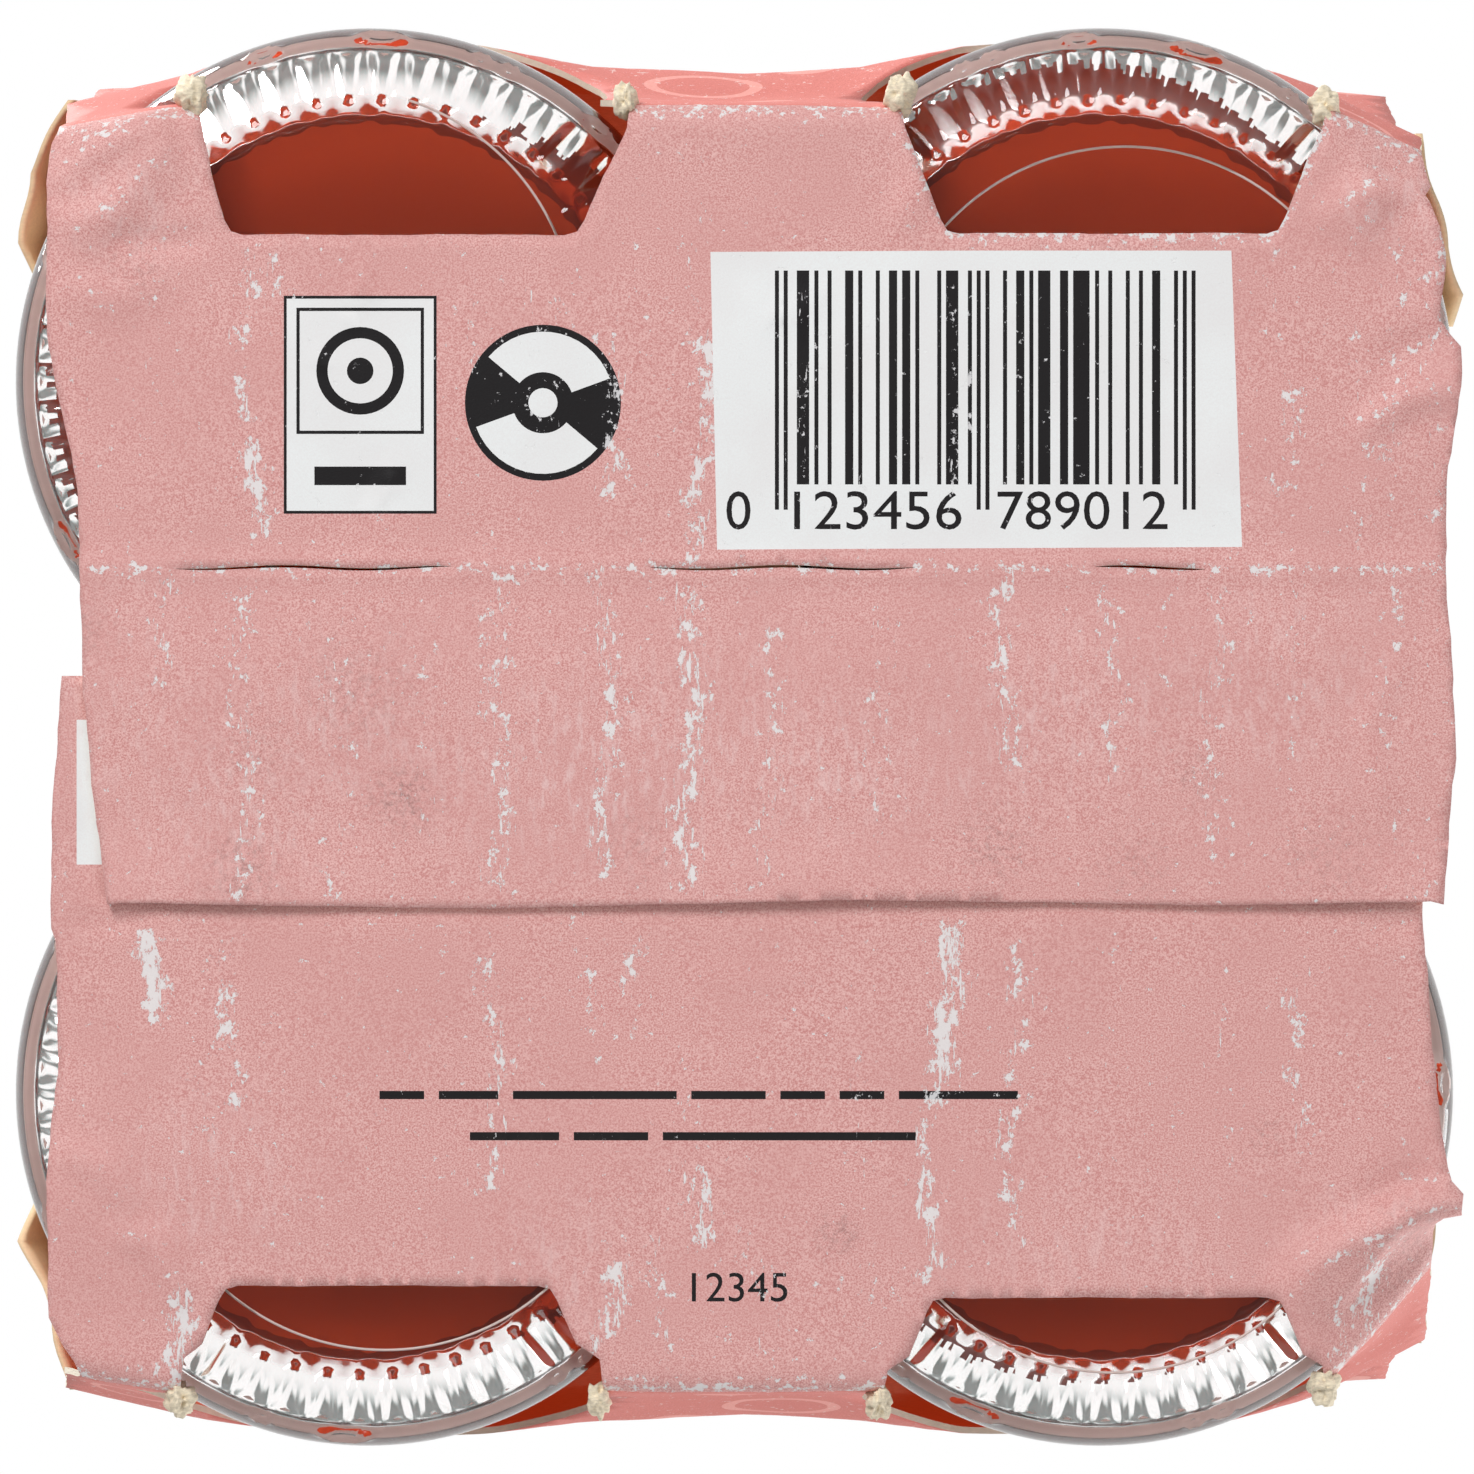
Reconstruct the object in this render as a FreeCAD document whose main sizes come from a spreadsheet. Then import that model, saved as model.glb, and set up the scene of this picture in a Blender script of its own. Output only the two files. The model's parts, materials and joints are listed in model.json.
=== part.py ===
"""Four-pack of mixer bottles: four 200 ml glass bottles held in a wrap of folded board.

Millimetres, +Z up.  The pack stands upright with its origin in the middle of its underside.
X runs along the wrap, whose two ends are open; the front wall faces -Y and the back wall +Y.
The sheet "Sizes" holds every driving size.  The strings below it are the places that follow
from those sizes, written once and used by every piece that meets there.
"""
import FreeCAD
import Part
import math
import os

import Sketcher

doc = FreeCAD.newDocument("MixerFourPack")

# ---------------------------------------------------------------- driving sizes
SIZES = {
    # board wrap
    "board": 0.5,               # thickness of the folded board
    "end_reveal": 1.5,          # how far the bottles stand out of each open end
    "heel_tuck": 6.95,          # how far the base folds lie inside the walls
    "low_fold": 31,             # height of the fold where the lower walls turn upright
    "fold_round": 1.5,          # outer radius of the base and top folds
    "crease_line": 12.7,        # the crease of the glued flap, in front of the middle
    "flap_ramp": 7.5,           # length over which the flap steps down under the back panel
    "flap_reach": 12.6,         # the flap's free edge, behind the middle
    "lap_reach": 4.6,           # the back panel's hidden edge, in front of the middle
    "heel_cut_depth": 9.6,      # heel openings, measured inwards from the base fold
    "heel_cut_flare": 2.2,      # widening of a heel opening, first in the base, then in the wall
    "heel_cut_side": 15.5,      # height where a heel opening's rounded top starts
    "finger_radius": 11,        # finger holes in the top panel
    "finger_place": 19,         # their distance from the middle
    "ear_height": 27,           # ears that wrap the end bottles' flanks
    "ear_crease": 38.5,         # where an ear bends along the end
    "ear_tip": 33,              # where an ear stops
    # how the bottles stand
    "gap_along": 1.8,           # between neighbours along X
    "gap_across": 0.3,          # between neighbours along Y
    "slip": 0.6,                # the bottles sit this far towards -X in the wrap
    "board_gap": 0.1,           # between bottle and board, and between cap and top panel
    "cap_side_gap": 0.3,        # between cap and shoulder panel
    # glass bottle, heights from its own foot
    "body_radius": 26.8,
    "glass_wall": 2.4,
    "heel_width": 5.4,          # from the body back to the foot ring
    "heel_height": 7.5,
    "foot_width": 1.8,          # flat foot ring
    "baffle_step": 1.3,         # from the foot ring in to the pushed-up base
    "baffle_height": 1.2,
    "push_up": 2.6,
    "base_glass": 3.4,          # glass over the pushed-up base
    "base_round": 6.5,          # from the inner body to the inner base
    "body_height": 94,
    "shoulder_radius": 24,
    "sweep_radius": 30,
    "neck_radius": 14,
    "neck_top_radius": 13.1,
    "ring_height": 143,         # underside of the transfer ring
    "ring_radius": 14.2,
    "ring_depth": 3,
    "ring_slope": 1.5,
    "collar_radius": 12.5,      # under the bead
    "bead_height": 155.6,
    "bead_radius": 13,
    "mouth_height": 161.5,
    "lip_round": 1.6,
    "mouth_radius": 8.6,
    "neck_bore_height": 148,
    "neck_bore_radius": 8.3,
    # drink
    "fill_height": 133,
    "drink_gap": 0.05,
    # crown cap
    "cap_height": 6.2,
    "cap_radius": 14.4,
    "cap_neck_radius": 13.4,
    "cap_top_radius": 11.4,
    "cap_shoulder": 1.6,
    "cap_sheet": 0.6,           # cap top with its liner
    "cap_gap": 0.2,
    "flute_radius": 1.35,
    "flute_depth": 0.75,
    "flute_count": 21,
    # paper label
    "label_low": 24,
    "label_high": 80,
    "label_paper": 0.12,
    "label_gap": 0.05,
    "label_angle": 136,
}

sheet = doc.addObject("Spreadsheet::Sheet", "Sizes")
for row, (name, size) in enumerate(SIZES.items(), start=1):
    sheet.set(f"A{row}", name)
    sheet.set(f"B{row}", str(size))
    sheet.setAlias(f"B{row}", name)
doc.recompute()


def cell(name):
    """The expression that reads one size."""
    return f"Sizes.{name}"


# ---------------------------------------------------------------- places that follow
BOARD = cell("board")
BODY = cell("body_radius")
STEP_X = f"({BODY} + {cell('gap_along')} / 2)"
STEP_Y = f"({BODY} + {cell('gap_across')} / 2)"
FLOOR = f"(2 * {BOARD})"                                   # the bottles' feet
WALL_IN = f"({STEP_Y} + {BODY} + {cell('board_gap')})"
WALL_OUT = f"({WALL_IN} + {BOARD})"
FOLD_OUT = f"({WALL_OUT} - {cell('heel_tuck')})"
CARTON_END = f"({STEP_X} + {BODY} - {cell('end_reveal')})"
EAR_OUT = (f"({STEP_X} + {BODY} + {cell('slip')} + {cell('label_gap')} + {cell('label_paper')}"
           f" + {cell('board_gap')} + {BOARD})")
CAP_SEAT = cell("mouth_height")
CAP_TOP = f"({FLOOR} + {CAP_SEAT} + {cell('cap_sheet')})"
CAP_FOOT = f"({CAP_SEAT} + {cell('cap_sheet')} - {cell('cap_height')})"
TOP_IN = f"({CAP_TOP} + {cell('board_gap')})"
TOP_OUT = f"({TOP_IN} + {BOARD})"
RIDGE_IN = f"({STEP_Y} + {cell('cap_radius')} + {cell('cap_side_gap')})"
# the shoulder panel leans on the bottles' round shoulders: HIGH_FOLD is where it leaves the wall
LEAN_ROUND = f"({cell('shoulder_radius')} + {cell('board_gap')})"
LEAN_WIDE = f"({WALL_IN} - {RIDGE_IN})"
LEAN_TALL = f"({TOP_IN} - {FLOOR} - {cell('body_height')})"
LEAN_ROOT = f"sqrt({LEAN_TALL}^2 + {LEAN_WIDE}^2 - 2 * {LEAN_ROUND} * {LEAN_WIDE})"
HIGH_FOLD = (f"({FLOOR} + {cell('body_height')}"
             f" + {LEAN_ROUND} * {LEAN_WIDE} / ({LEAN_TALL} + {LEAN_ROOT}))")
LOW_SLOPE = f"({cell('heel_tuck')} / ({cell('low_fold')} - {BOARD}))"
HIGH_SLOPE = f"(({WALL_IN} - {RIDGE_IN}) / ({TOP_IN} - {HIGH_FOLD}))"
RIDGE_OUT = f"({RIDGE_IN} + {BOARD} * (sqrt(1 + {HIGH_SLOPE}^2) - {HIGH_SLOPE}))"
FOLD_IN = f"({FOLD_OUT} + {BOARD} * ({LOW_SLOPE} - sqrt(1 + {LOW_SLOPE}^2)))"
CUT_WALL = f"sqrt({cell('heel_tuck')} * (2 * {BODY} - {cell('heel_tuck')}))"
CUT_FOLD = f"({CUT_WALL} - {cell('heel_cut_flare')})"
CUT_BASE = f"({CUT_FOLD} - {cell('heel_cut_flare')})"
PAST = "5"                                                 # a cut starts this far outside


def number(expression):
    """What an expression comes to now."""
    return float(sheet.evalExpression(expression))


# ---------------------------------------------------------------- sketch helpers
def origin_plane(body, role):
    return next(item for item in body.Origin.OriginFeatures if item.Role == role)


def new_sketch(body, name, role, height="0"):
    """A sketch on one of the body's own planes, moved along the plane's normal."""
    sketch = body.newObject("Sketcher::SketchObject", name)
    sketch.AttachmentSupport = [(origin_plane(body, role), "")]
    sketch.MapMode = "FlatFace"
    sketch.setExpression("AttachmentOffset.Base.z", height)
    return sketch


def hold(sketch, kind, point, expression):
    """Hold a point's distance from the sketch's origin along X or Y."""
    size = number(expression)
    if abs(size) < 1e-9:
        axis = -2 if kind == "DistanceX" else -1
        sketch.addConstraint(Sketcher.Constraint("PointOnObject", *point, axis))
        return
    if size > 0:
        index = sketch.addConstraint(Sketcher.Constraint(kind, -1, 1, *point, size))
        sketch.setExpression(f"Constraints[{index}]", expression)
    else:
        index = sketch.addConstraint(Sketcher.Constraint(kind, *point, -1, 1, -size))
        sketch.setExpression(f"Constraints[{index}]", f"-({expression})")


def arc_between(start, end, radius, side):
    """An arc under half a turn; side is +1 with its centre on the left, -1 on the right."""
    chord = end - start
    normal = FreeCAD.Vector(-chord.y, chord.x, 0).normalize() * side
    rise = math.sqrt(max(radius ** 2 - (chord.Length / 2) ** 2, 0))
    centre = (start + end) * 0.5 + normal * rise
    first, last = (start, end) if side > 0 else (end, start)
    turn = [math.atan2(point.y - centre.y, point.x - centre.x) for point in (first, last)]
    circle = Part.Circle(centre, FreeCAD.Vector(0, 0, 1), radius)
    return Part.ArcOfCircle(circle, turn[0], turn[1] if turn[1] > turn[0] else turn[1] + 2 * math.pi)


def outline(sketch, corners):
    """Close an outline through the corners.

    A corner is (x, y) before a straight side, or (x, y, side, radius) before an arc.
    """
    points = [FreeCAD.Vector(number(corner[0]), number(corner[1]), 0) for corner in corners]
    starts, ends = [], []
    for index, corner in enumerate(corners):
        start, end = points[index], points[(index + 1) % len(points)]
        if len(corner) == 2:
            piece = sketch.addGeometry(Part.LineSegment(start, end), False)
            starts.append((piece, 1))
            ends.append((piece, 2))
            continue
        side, radius = corner[2:]
        piece = sketch.addGeometry(arc_between(start, end, number(radius), side), False)
        starts.append((piece, 1 if side > 0 else 2))
        ends.append((piece, 2 if side > 0 else 1))
    for index, corner in enumerate(corners):
        sketch.addConstraint(Sketcher.Constraint("Coincident", *ends[index - 1], *starts[index]))
    for index, corner in enumerate(corners):
        hold(sketch, "DistanceX", starts[index], corner[0])
        hold(sketch, "DistanceY", starts[index], corner[1])
        if len(corner) > 2:
            piece = starts[index][0]
            held = Sketcher.Constraint("Radius", piece, number(corner[3]))
            held = sketch.addConstraint(held)
            sketch.setExpression(f"Constraints[{held}]", corner[3])


def circle(sketch, x, y, radius):
    centre = FreeCAD.Vector(number(x), number(y), 0)
    piece = sketch.addGeometry(Part.Circle(centre, FreeCAD.Vector(0, 0, 1), number(radius)), False)
    held = sketch.addConstraint(Sketcher.Constraint("Radius", piece, number(radius)))
    sketch.setExpression(f"Constraints[{held}]", radius)
    hold(sketch, "DistanceX", (piece, 3), x)
    hold(sketch, "DistanceY", (piece, 3), y)


# ---------------------------------------------------------------- feature helpers
def new_body(label):
    body = doc.addObject("PartDesign::Body", label)
    body.Label = label
    return body


def turned(body, sketch, name, kind="PartDesign::Revolution"):
    """Turn a sketch round its upright axis."""
    feature = body.newObject(kind, name)
    feature.Profile = sketch
    feature.ReferenceAxis = (sketch, ["V_Axis"])
    feature.Angle = 360
    return feature


def pocket(body, sketch, name, depth, reverse):
    """Cut a sketch away and make sure that it does take material off."""
    before = body.Tip.Shape.Volume
    cut = body.newObject("PartDesign::Pocket", name)
    cut.Profile = sketch
    cut.Reversed = reverse
    cut.setExpression("Length", depth)
    doc.recompute()
    if not cut.Shape.Volume < before:
        raise RuntimeError(f"{name} cuts nothing")
    return cut


def edges_at(shape, places):
    """Names of the edges along X that pass through the given (y, z) places."""
    names = []
    for index, edge in enumerate(shape.Edges, start=1):
        box = edge.BoundBox
        for y, z in places:
            near = max(abs(box.YMin - y), abs(box.YMax - y), abs(box.ZMin - z), abs(box.ZMax - z))
            if near < 0.01:
                names.append(f"Edge{index}")
    if len(names) != len(places):
        raise RuntimeError("a fold's edge was not found")
    return names


def move(body, x, y, z, turn="0"):
    for axis, expression in zip("xyz", (x, y, z)):
        body.setExpression(f"Placement.Base.{axis}", expression)
    body.setExpression("Placement.Rotation.Angle", turn)


# ---------------------------------------------------------------- board wrap
def wrap_section(sketch):
    """The wrap across its length: base with glued flap, lower walls, walls, shoulders and top."""
    outer = [
        (cell("flap_reach"), "0"),
        (f"{cell('flap_ramp')} - {cell('crease_line')}", "0"),
        (f"-{cell('crease_line')}", BOARD),
        (f"-{FOLD_OUT}", BOARD),
        (f"-{WALL_OUT}", cell("low_fold")),
        (f"-{WALL_OUT}", HIGH_FOLD),
        (f"-{RIDGE_OUT}", TOP_OUT),
        (RIDGE_OUT, TOP_OUT),
        (WALL_OUT, HIGH_FOLD),
        (WALL_OUT, cell("low_fold")),
        (FOLD_OUT, BOARD),
        (cell("flap_reach"), BOARD),
    ]
    inner = [
        (f"-{FOLD_IN}", FLOOR),
        (f"-{cell('crease_line')}", FLOOR),
        (f"{cell('flap_ramp')} - {cell('crease_line')}", BOARD),
        (f"-{cell('lap_reach')}", BOARD),
        (f"-{cell('lap_reach')}", FLOOR),
        (FOLD_IN, FLOOR),
        (WALL_IN, cell("low_fold")),
        (WALL_IN, HIGH_FOLD),
        (RIDGE_IN, TOP_IN),
        (f"-{RIDGE_IN}", TOP_IN),
        (f"-{WALL_IN}", HIGH_FOLD),
        (f"-{WALL_IN}", cell("low_fold")),
    ]
    outline(sketch, outer)
    outline(sketch, inner)


def round_folds(body, pad):
    """Round the base and top folds, outside and inside, about the same line."""
    for name, y, z_low, y_high, z_high, radius in (
        ("OuterFolds", FOLD_OUT, BOARD, RIDGE_OUT, TOP_OUT, cell("fold_round")),
        ("InnerFolds", FOLD_IN, FLOOR, RIDGE_IN, TOP_IN, f"{cell('fold_round')} - {BOARD}"),
    ):
        low, high = (number(y), number(z_low)), (number(y_high), number(z_high))
        places = [(sign * place[0], place[1]) for place in (low, high) for sign in (-1, 1)]
        base = body.Tip
        fold = body.newObject("PartDesign::Fillet", name)
        fold.Base = (base, edges_at(base.Shape, places))
        fold.setExpression("Radius", radius)
        doc.recompute()


def cut_heel_openings(body):
    """Four openings that run from the base over the fold and up the lower wall."""
    floor_cut = new_sketch(body, "HeelCutBase", "XY_Plane")
    for side_x in "-", "":
        middle = f"({side_x}{STEP_X})"
        for side_y in "-", "":
            near = f"({side_y}({FOLD_OUT} - {cell('heel_cut_depth')}))"
            far = f"({side_y}{WALL_OUT})"
            past_fold = f"({CUT_FOLD} + {cell('heel_cut_flare')} * 0.7)"
            corners = [
                (f"{middle} - {CUT_BASE}", near),
                (f"{middle} - {past_fold}", far),
                (f"{middle} + {past_fold}", far),
                (f"{middle} + {CUT_BASE}", near),
            ]
            outline(floor_cut, corners)
    pocket(body, floor_cut, "HeelCutBasePocket", f"{FLOOR} + {cell('fold_round')} / 2", True)

    start = f"({WALL_OUT} + {PAST})"
    depth = f"{cell('heel_tuck')} + {cell('fold_round')} + {PAST}"
    for name, height, reverse in (
        ("HeelCutFront", start, False),
        ("HeelCutBack", f"-{start}", True),
    ):
        wall_cut = new_sketch(body, name, "XZ_Plane", height)
        for side_x in "-", "":
            middle = f"({side_x}{STEP_X})"
            top = f"({cell('heel_cut_side')} + {CUT_WALL})"
            flare_top = f"({cell('heel_cut_side')} * 0.6)"
            outline(wall_cut, [
                (f"{middle} - {CUT_FOLD}", "0"),
                (f"{middle} + {CUT_FOLD}", "0"),
                (f"{middle} + {CUT_WALL}", flare_top),
                (f"{middle} + {CUT_WALL}", cell("heel_cut_side"), 1, CUT_WALL),
                (middle, top, 1, CUT_WALL),
                (f"{middle} - {CUT_WALL}", cell("heel_cut_side")),
                (f"{middle} - {CUT_WALL}", flare_top),
            ])
        pocket(body, wall_cut, name + "Pocket", depth, reverse)


def cut_finger_holes(body):
    holes = new_sketch(body, "FingerHoles", "XY_Plane", f"{TOP_OUT} + {PAST}")
    for side in "-", "":
        circle(holes, f"{side}{cell('finger_place')}", "0", cell("finger_radius"))
    pocket(body, holes, "FingerHolesPocket", f"2 * {PAST}", False)


def add_ears(body):
    """Four ears that carry on from the walls' ends and wrap the end bottles' flanks."""
    ears = new_sketch(body, "Ears", "XY_Plane", cell("low_fold"))
    for side_x in "-", "":
        for side_y in "-", "":
            def at(x, y):
                return (f"({side_x}({x}))", f"({side_y}({y}))")
            outline(ears, [
                at(f"{CARTON_END} - {BOARD}", WALL_OUT),
                at(EAR_OUT, cell("ear_crease")),
                at(EAR_OUT, cell("ear_tip")),
                at(f"{EAR_OUT} - {BOARD}", cell("ear_tip")),
                at(f"{EAR_OUT} - {BOARD}", f"{cell('ear_crease')} - 0.1"),
                at(f"{CARTON_END} - 2 * {BOARD}", WALL_IN),
            ])
    pad = body.newObject("PartDesign::Pad", "EarsPad")
    pad.Profile = ears
    pad.setExpression("Length", cell("ear_height"))


def make_carton():
    body = new_body("carton")
    section = new_sketch(body, "WrapSection", "YZ_Plane")
    wrap_section(section)
    pad = body.newObject("PartDesign::Pad", "Wrap")
    pad.Profile = section
    pad.SideType = "Symmetric"
    pad.setExpression("Length", f"2 * {CARTON_END}")
    doc.recompute()
    round_folds(body, pad)
    cut_heel_openings(body)
    cut_finger_holes(body)
    add_ears(body)
    return body


# ---------------------------------------------------------------- glass bottle
SWEEP = f"({cell('shoulder_radius')} + {cell('sweep_radius')})"
NECK_IN = f"({BODY} - {cell('neck_radius')})"
NECK_FOOT = f"({cell('body_height')} + sqrt({SWEEP}^2 - ({NECK_IN} - {SWEEP})^2))"
SHARE = f"({cell('shoulder_radius')} / {SWEEP})"
MEET_RADIUS = f"({BODY} - {cell('shoulder_radius')} + {SHARE} * ({SWEEP} - {NECK_IN}))"
MEET_HEIGHT = f"({cell('body_height')} + {SHARE} * ({NECK_FOOT} - {cell('body_height')}))"
FOOT_OUT = f"({BODY} - {cell('heel_width')})"
FOOT_IN = f"({FOOT_OUT} - {cell('foot_width')})"
BAFFLE = f"({FOOT_IN} - {cell('baffle_step')})"
HEEL_ROUND = (f"(({cell('heel_width')}^2 + {cell('heel_height')}^2)"
              f" / (2 * {cell('heel_width')}))")
CROWN_RISE = f"({cell('push_up')} - {cell('baffle_height')})"
PUSH_ROUND = f"(({BAFFLE}^2 + {CROWN_RISE}^2) / (2 * {CROWN_RISE}))"


def meet(inset):
    """Where the shoulder's two arcs meet, moved in by inset along their common radius."""
    lean = f"(({SWEEP} - {NECK_IN}) / {SWEEP})"
    climb = f"(({NECK_FOOT} - {cell('body_height')}) / {SWEEP})"
    return f"{MEET_RADIUS} - {inset} * {lean}", f"{MEET_HEIGHT} - {inset} * {climb}"


def cavity(gap):
    """The inside of the bottle from its mouth down to the axis, a gap clear of the glass."""
    inset = f"({cell('glass_wall')} + {gap})"
    radius = f"({BODY} - {inset})"
    base = f"({cell('push_up')} + {cell('base_glass')} + {gap})"
    return [
        (f"{cell('mouth_radius')} - {gap}", CAP_SEAT),
        (f"{cell('neck_bore_radius')} - {gap}", cell("neck_bore_height")),
        (f"{cell('neck_radius')} - {inset}", NECK_FOOT, 1, f"{cell('sweep_radius')} + {inset}"),
        (*meet(inset), -1, f"{cell('shoulder_radius')} - {inset}"),
        (radius, cell("body_height")),
        (radius, f"{base} + {cell('base_round')}", -1, cell("base_round")),
        (f"{radius} - {cell('base_round')}", base),
        ("0", base),
    ]


def glass_outside():
    """The outside of the bottle from the axis under its base up to its mouth."""
    ring_top = f"({cell('ring_height')} + {cell('ring_slope')} + {cell('ring_depth')})"
    return [
        ("0", cell("push_up"), -1, PUSH_ROUND),
        (BAFFLE, cell("baffle_height")),
        (FOOT_IN, "0"),
        (FOOT_OUT, "0", 1, HEEL_ROUND),
        (BODY, cell("heel_height")),
        (BODY, cell("body_height"), 1, cell("shoulder_radius")),
        (*meet("0"), -1, cell("sweep_radius")),
        (cell("neck_radius"), NECK_FOOT),
        (cell("neck_top_radius"), cell("ring_height")),
        (cell("ring_radius"), f"{cell('ring_height')} + {cell('ring_slope')}"),
        (cell("ring_radius"), ring_top),
        (cell("collar_radius"), f"{ring_top} + {cell('ring_slope')}"),
        (cell("collar_radius"), f"{cell('bead_height')} - {cell('bead_radius')}"
                                f" + {cell('collar_radius')}"),
        (cell("bead_radius"), cell("bead_height")),
        (cell("bead_radius"), f"{CAP_SEAT} - {cell('lip_round')}", 1, cell("lip_round")),
        (f"{cell('bead_radius')} - {cell('lip_round')}", CAP_SEAT),
    ]


def make_bottle(label):
    body = new_body(label)
    half = new_sketch(body, "GlassHalf", "XZ_Plane")
    outline(half, glass_outside() + cavity("0"))
    turned(body, half, "Glass")
    return body


def make_drink(label):
    """The drink fills the cavity up to a level at the foot of the neck."""
    body = new_body(label)
    half = new_sketch(body, "CavityHalf", "XZ_Plane")
    outline(half, cavity(cell("drink_gap")) + [("0", CAP_SEAT)])
    turned(body, half, "Cavity")
    above = new_sketch(body, "AboveLevel", "XZ_Plane")
    outline(above, [
        ("0", cell("fill_height")),
        (BODY, cell("fill_height")),
        (BODY, f"{CAP_SEAT} + {PAST}"),
        ("0", f"{CAP_SEAT} + {PAST}"),
    ])
    doc.recompute()
    turned(body, above, "Headspace", "PartDesign::Groove")
    return body


# ---------------------------------------------------------------- crown cap and label
def make_cap(label):
    """A crimped crown: a flat top, a rounded shoulder and a fluted skirt over the bead."""
    body = new_body(label)
    inside = f"({cell('bead_radius')} + {cell('cap_gap')})"
    seat = f"({cell('cap_height')} - {cell('cap_sheet')})"
    half = new_sketch(body, "CrownHalf", "XZ_Plane")
    outline(half, [
        ("0", seat),
        (f"{inside} - {cell('lip_round')}", seat, -1, cell("lip_round")),
        (inside, f"{seat} - {cell('lip_round')}"),
        (inside, "0"),
        (cell("cap_radius"), "0"),
        (cell("cap_neck_radius") + f" + {cell('cap_sheet')} / 2",
         f"{cell('cap_height')} - {cell('cap_shoulder')}"),
        (cell("cap_top_radius"), cell("cap_height")),
        ("0", cell("cap_height")),
    ])
    turned(body, half, "Crown")
    doc.recompute()
    flute = new_sketch(body, "Flute", "XY_Plane")
    reach = f"{cell('cap_radius')} - {cell('flute_depth')} + {cell('flute_radius')}"
    circle(flute, reach, "0", cell("flute_radius"))
    cut = pocket(body, flute, "FlutePocket", f"{cell('cap_height')}", True)
    ring = body.newObject("PartDesign::PolarPattern", "Flutes")
    ring.Originals = [cut]
    ring.Axis = (flute, ["N_Axis"])
    ring.Angle = 360
    ring.setExpression("Occurrences", cell("flute_count"))
    body.Tip = ring
    return body


def make_label(label):
    """A paper label over part of the body, centred on the bottle's +X side."""
    body = new_body(label)
    inside = f"({BODY} + {cell('label_gap')})"
    outside = f"({inside} + {cell('label_paper')})"
    strip = new_sketch(body, "LabelStrip", "XZ_Plane")
    outline(strip, [
        (inside, cell("label_low")),
        (outside, cell("label_low")),
        (outside, cell("label_high")),
        (inside, cell("label_high")),
    ])
    paper = turned(body, strip, "Paper")
    paper.setExpression("Angle", cell("label_angle"))
    paper.Midplane = True
    return body


# ---------------------------------------------------------------- the pack
PLACES = {
    # name: side along X, side along Y, turn of the bottle's label away from the open end
    "front_left": ("-", "-", 9),
    "front_right": ("", "-", -12),
    "back_left": ("-", "", -6),
    "back_right": ("", "", 4),
}

parts = [make_carton()]
for name, (side_x, side_y, turn) in PLACES.items():
    x = f"{side_x}{STEP_X} - {cell('slip')}"
    y = f"{side_y}{STEP_Y}"
    facing = turn + (180 if side_x == "-" else 0)
    for make, kind, height in (
        (make_bottle, "bottle", FLOOR),
        (make_drink, "drink", FLOOR),
        (make_cap, "cap", f"{FLOOR} + {CAP_FOOT}"),
        (make_label, "label", FLOOR),
    ):
        piece = make(f"{kind}_{name}")
        move(piece, x, y, height, str(facing))
        parts.append(piece)
doc.recompute()

# ---------------------------------------------------------------- check, then write
for item in doc.Objects:
    if "Invalid" in item.State or "Error" in item.State:
        raise RuntimeError(f"{item.Label} failed: {item.State}")
for piece in parts:
    shape = piece.Shape
    if shape.isNull() or not shape.isValid() or len(shape.Solids) != 1:
        raise RuntimeError(f"{piece.Label} is not one valid solid")

os.makedirs("parts", exist_ok=True)
for piece in parts:
    piece.Shape.exportStep(f"parts/{piece.Label}.step")
    box = piece.Shape.BoundBox
    print(f"{piece.Label}: {piece.Shape.Volume:.1f} mm3,"
          f" x {box.XMin:.2f}..{box.XMax:.2f}, y {box.YMin:.2f}..{box.YMax:.2f},"
          f" z {box.ZMin:.2f}..{box.ZMax:.2f}")
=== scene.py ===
"""Looks of a four-pack of mixer bottles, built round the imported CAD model.

Shapes are worked out in millimetres and written in metres.  The pack stands upright with -Y to
the front.  The main camera looks straight up at the underside, so the floor is a stage plane
that only shows from above.
"""
import json
import math

import bpy
import numpy as np
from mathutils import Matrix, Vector, noise
from mathutils.geometry import delaunay_2d_cdt

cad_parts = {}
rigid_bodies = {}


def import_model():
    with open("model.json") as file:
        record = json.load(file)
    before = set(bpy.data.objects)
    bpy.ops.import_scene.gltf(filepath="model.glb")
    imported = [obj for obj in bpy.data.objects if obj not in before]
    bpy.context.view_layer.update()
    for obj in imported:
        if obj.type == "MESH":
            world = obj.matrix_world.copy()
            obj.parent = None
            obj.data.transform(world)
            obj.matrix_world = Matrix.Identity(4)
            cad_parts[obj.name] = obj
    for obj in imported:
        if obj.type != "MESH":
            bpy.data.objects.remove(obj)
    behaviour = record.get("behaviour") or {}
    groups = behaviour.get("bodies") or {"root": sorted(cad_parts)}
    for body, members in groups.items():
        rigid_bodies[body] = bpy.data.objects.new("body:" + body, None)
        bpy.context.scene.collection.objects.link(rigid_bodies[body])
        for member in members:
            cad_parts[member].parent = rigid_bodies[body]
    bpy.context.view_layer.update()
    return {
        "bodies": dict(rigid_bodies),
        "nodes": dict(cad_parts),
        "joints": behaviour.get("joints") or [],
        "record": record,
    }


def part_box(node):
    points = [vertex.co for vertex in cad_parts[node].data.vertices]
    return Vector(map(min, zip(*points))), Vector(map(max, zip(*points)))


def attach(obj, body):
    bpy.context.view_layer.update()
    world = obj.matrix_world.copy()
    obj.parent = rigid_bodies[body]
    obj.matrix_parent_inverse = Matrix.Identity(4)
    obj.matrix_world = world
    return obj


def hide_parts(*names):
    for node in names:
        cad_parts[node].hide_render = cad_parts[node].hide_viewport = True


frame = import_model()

MM = 0.001
TAU = 2 * math.pi


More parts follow.
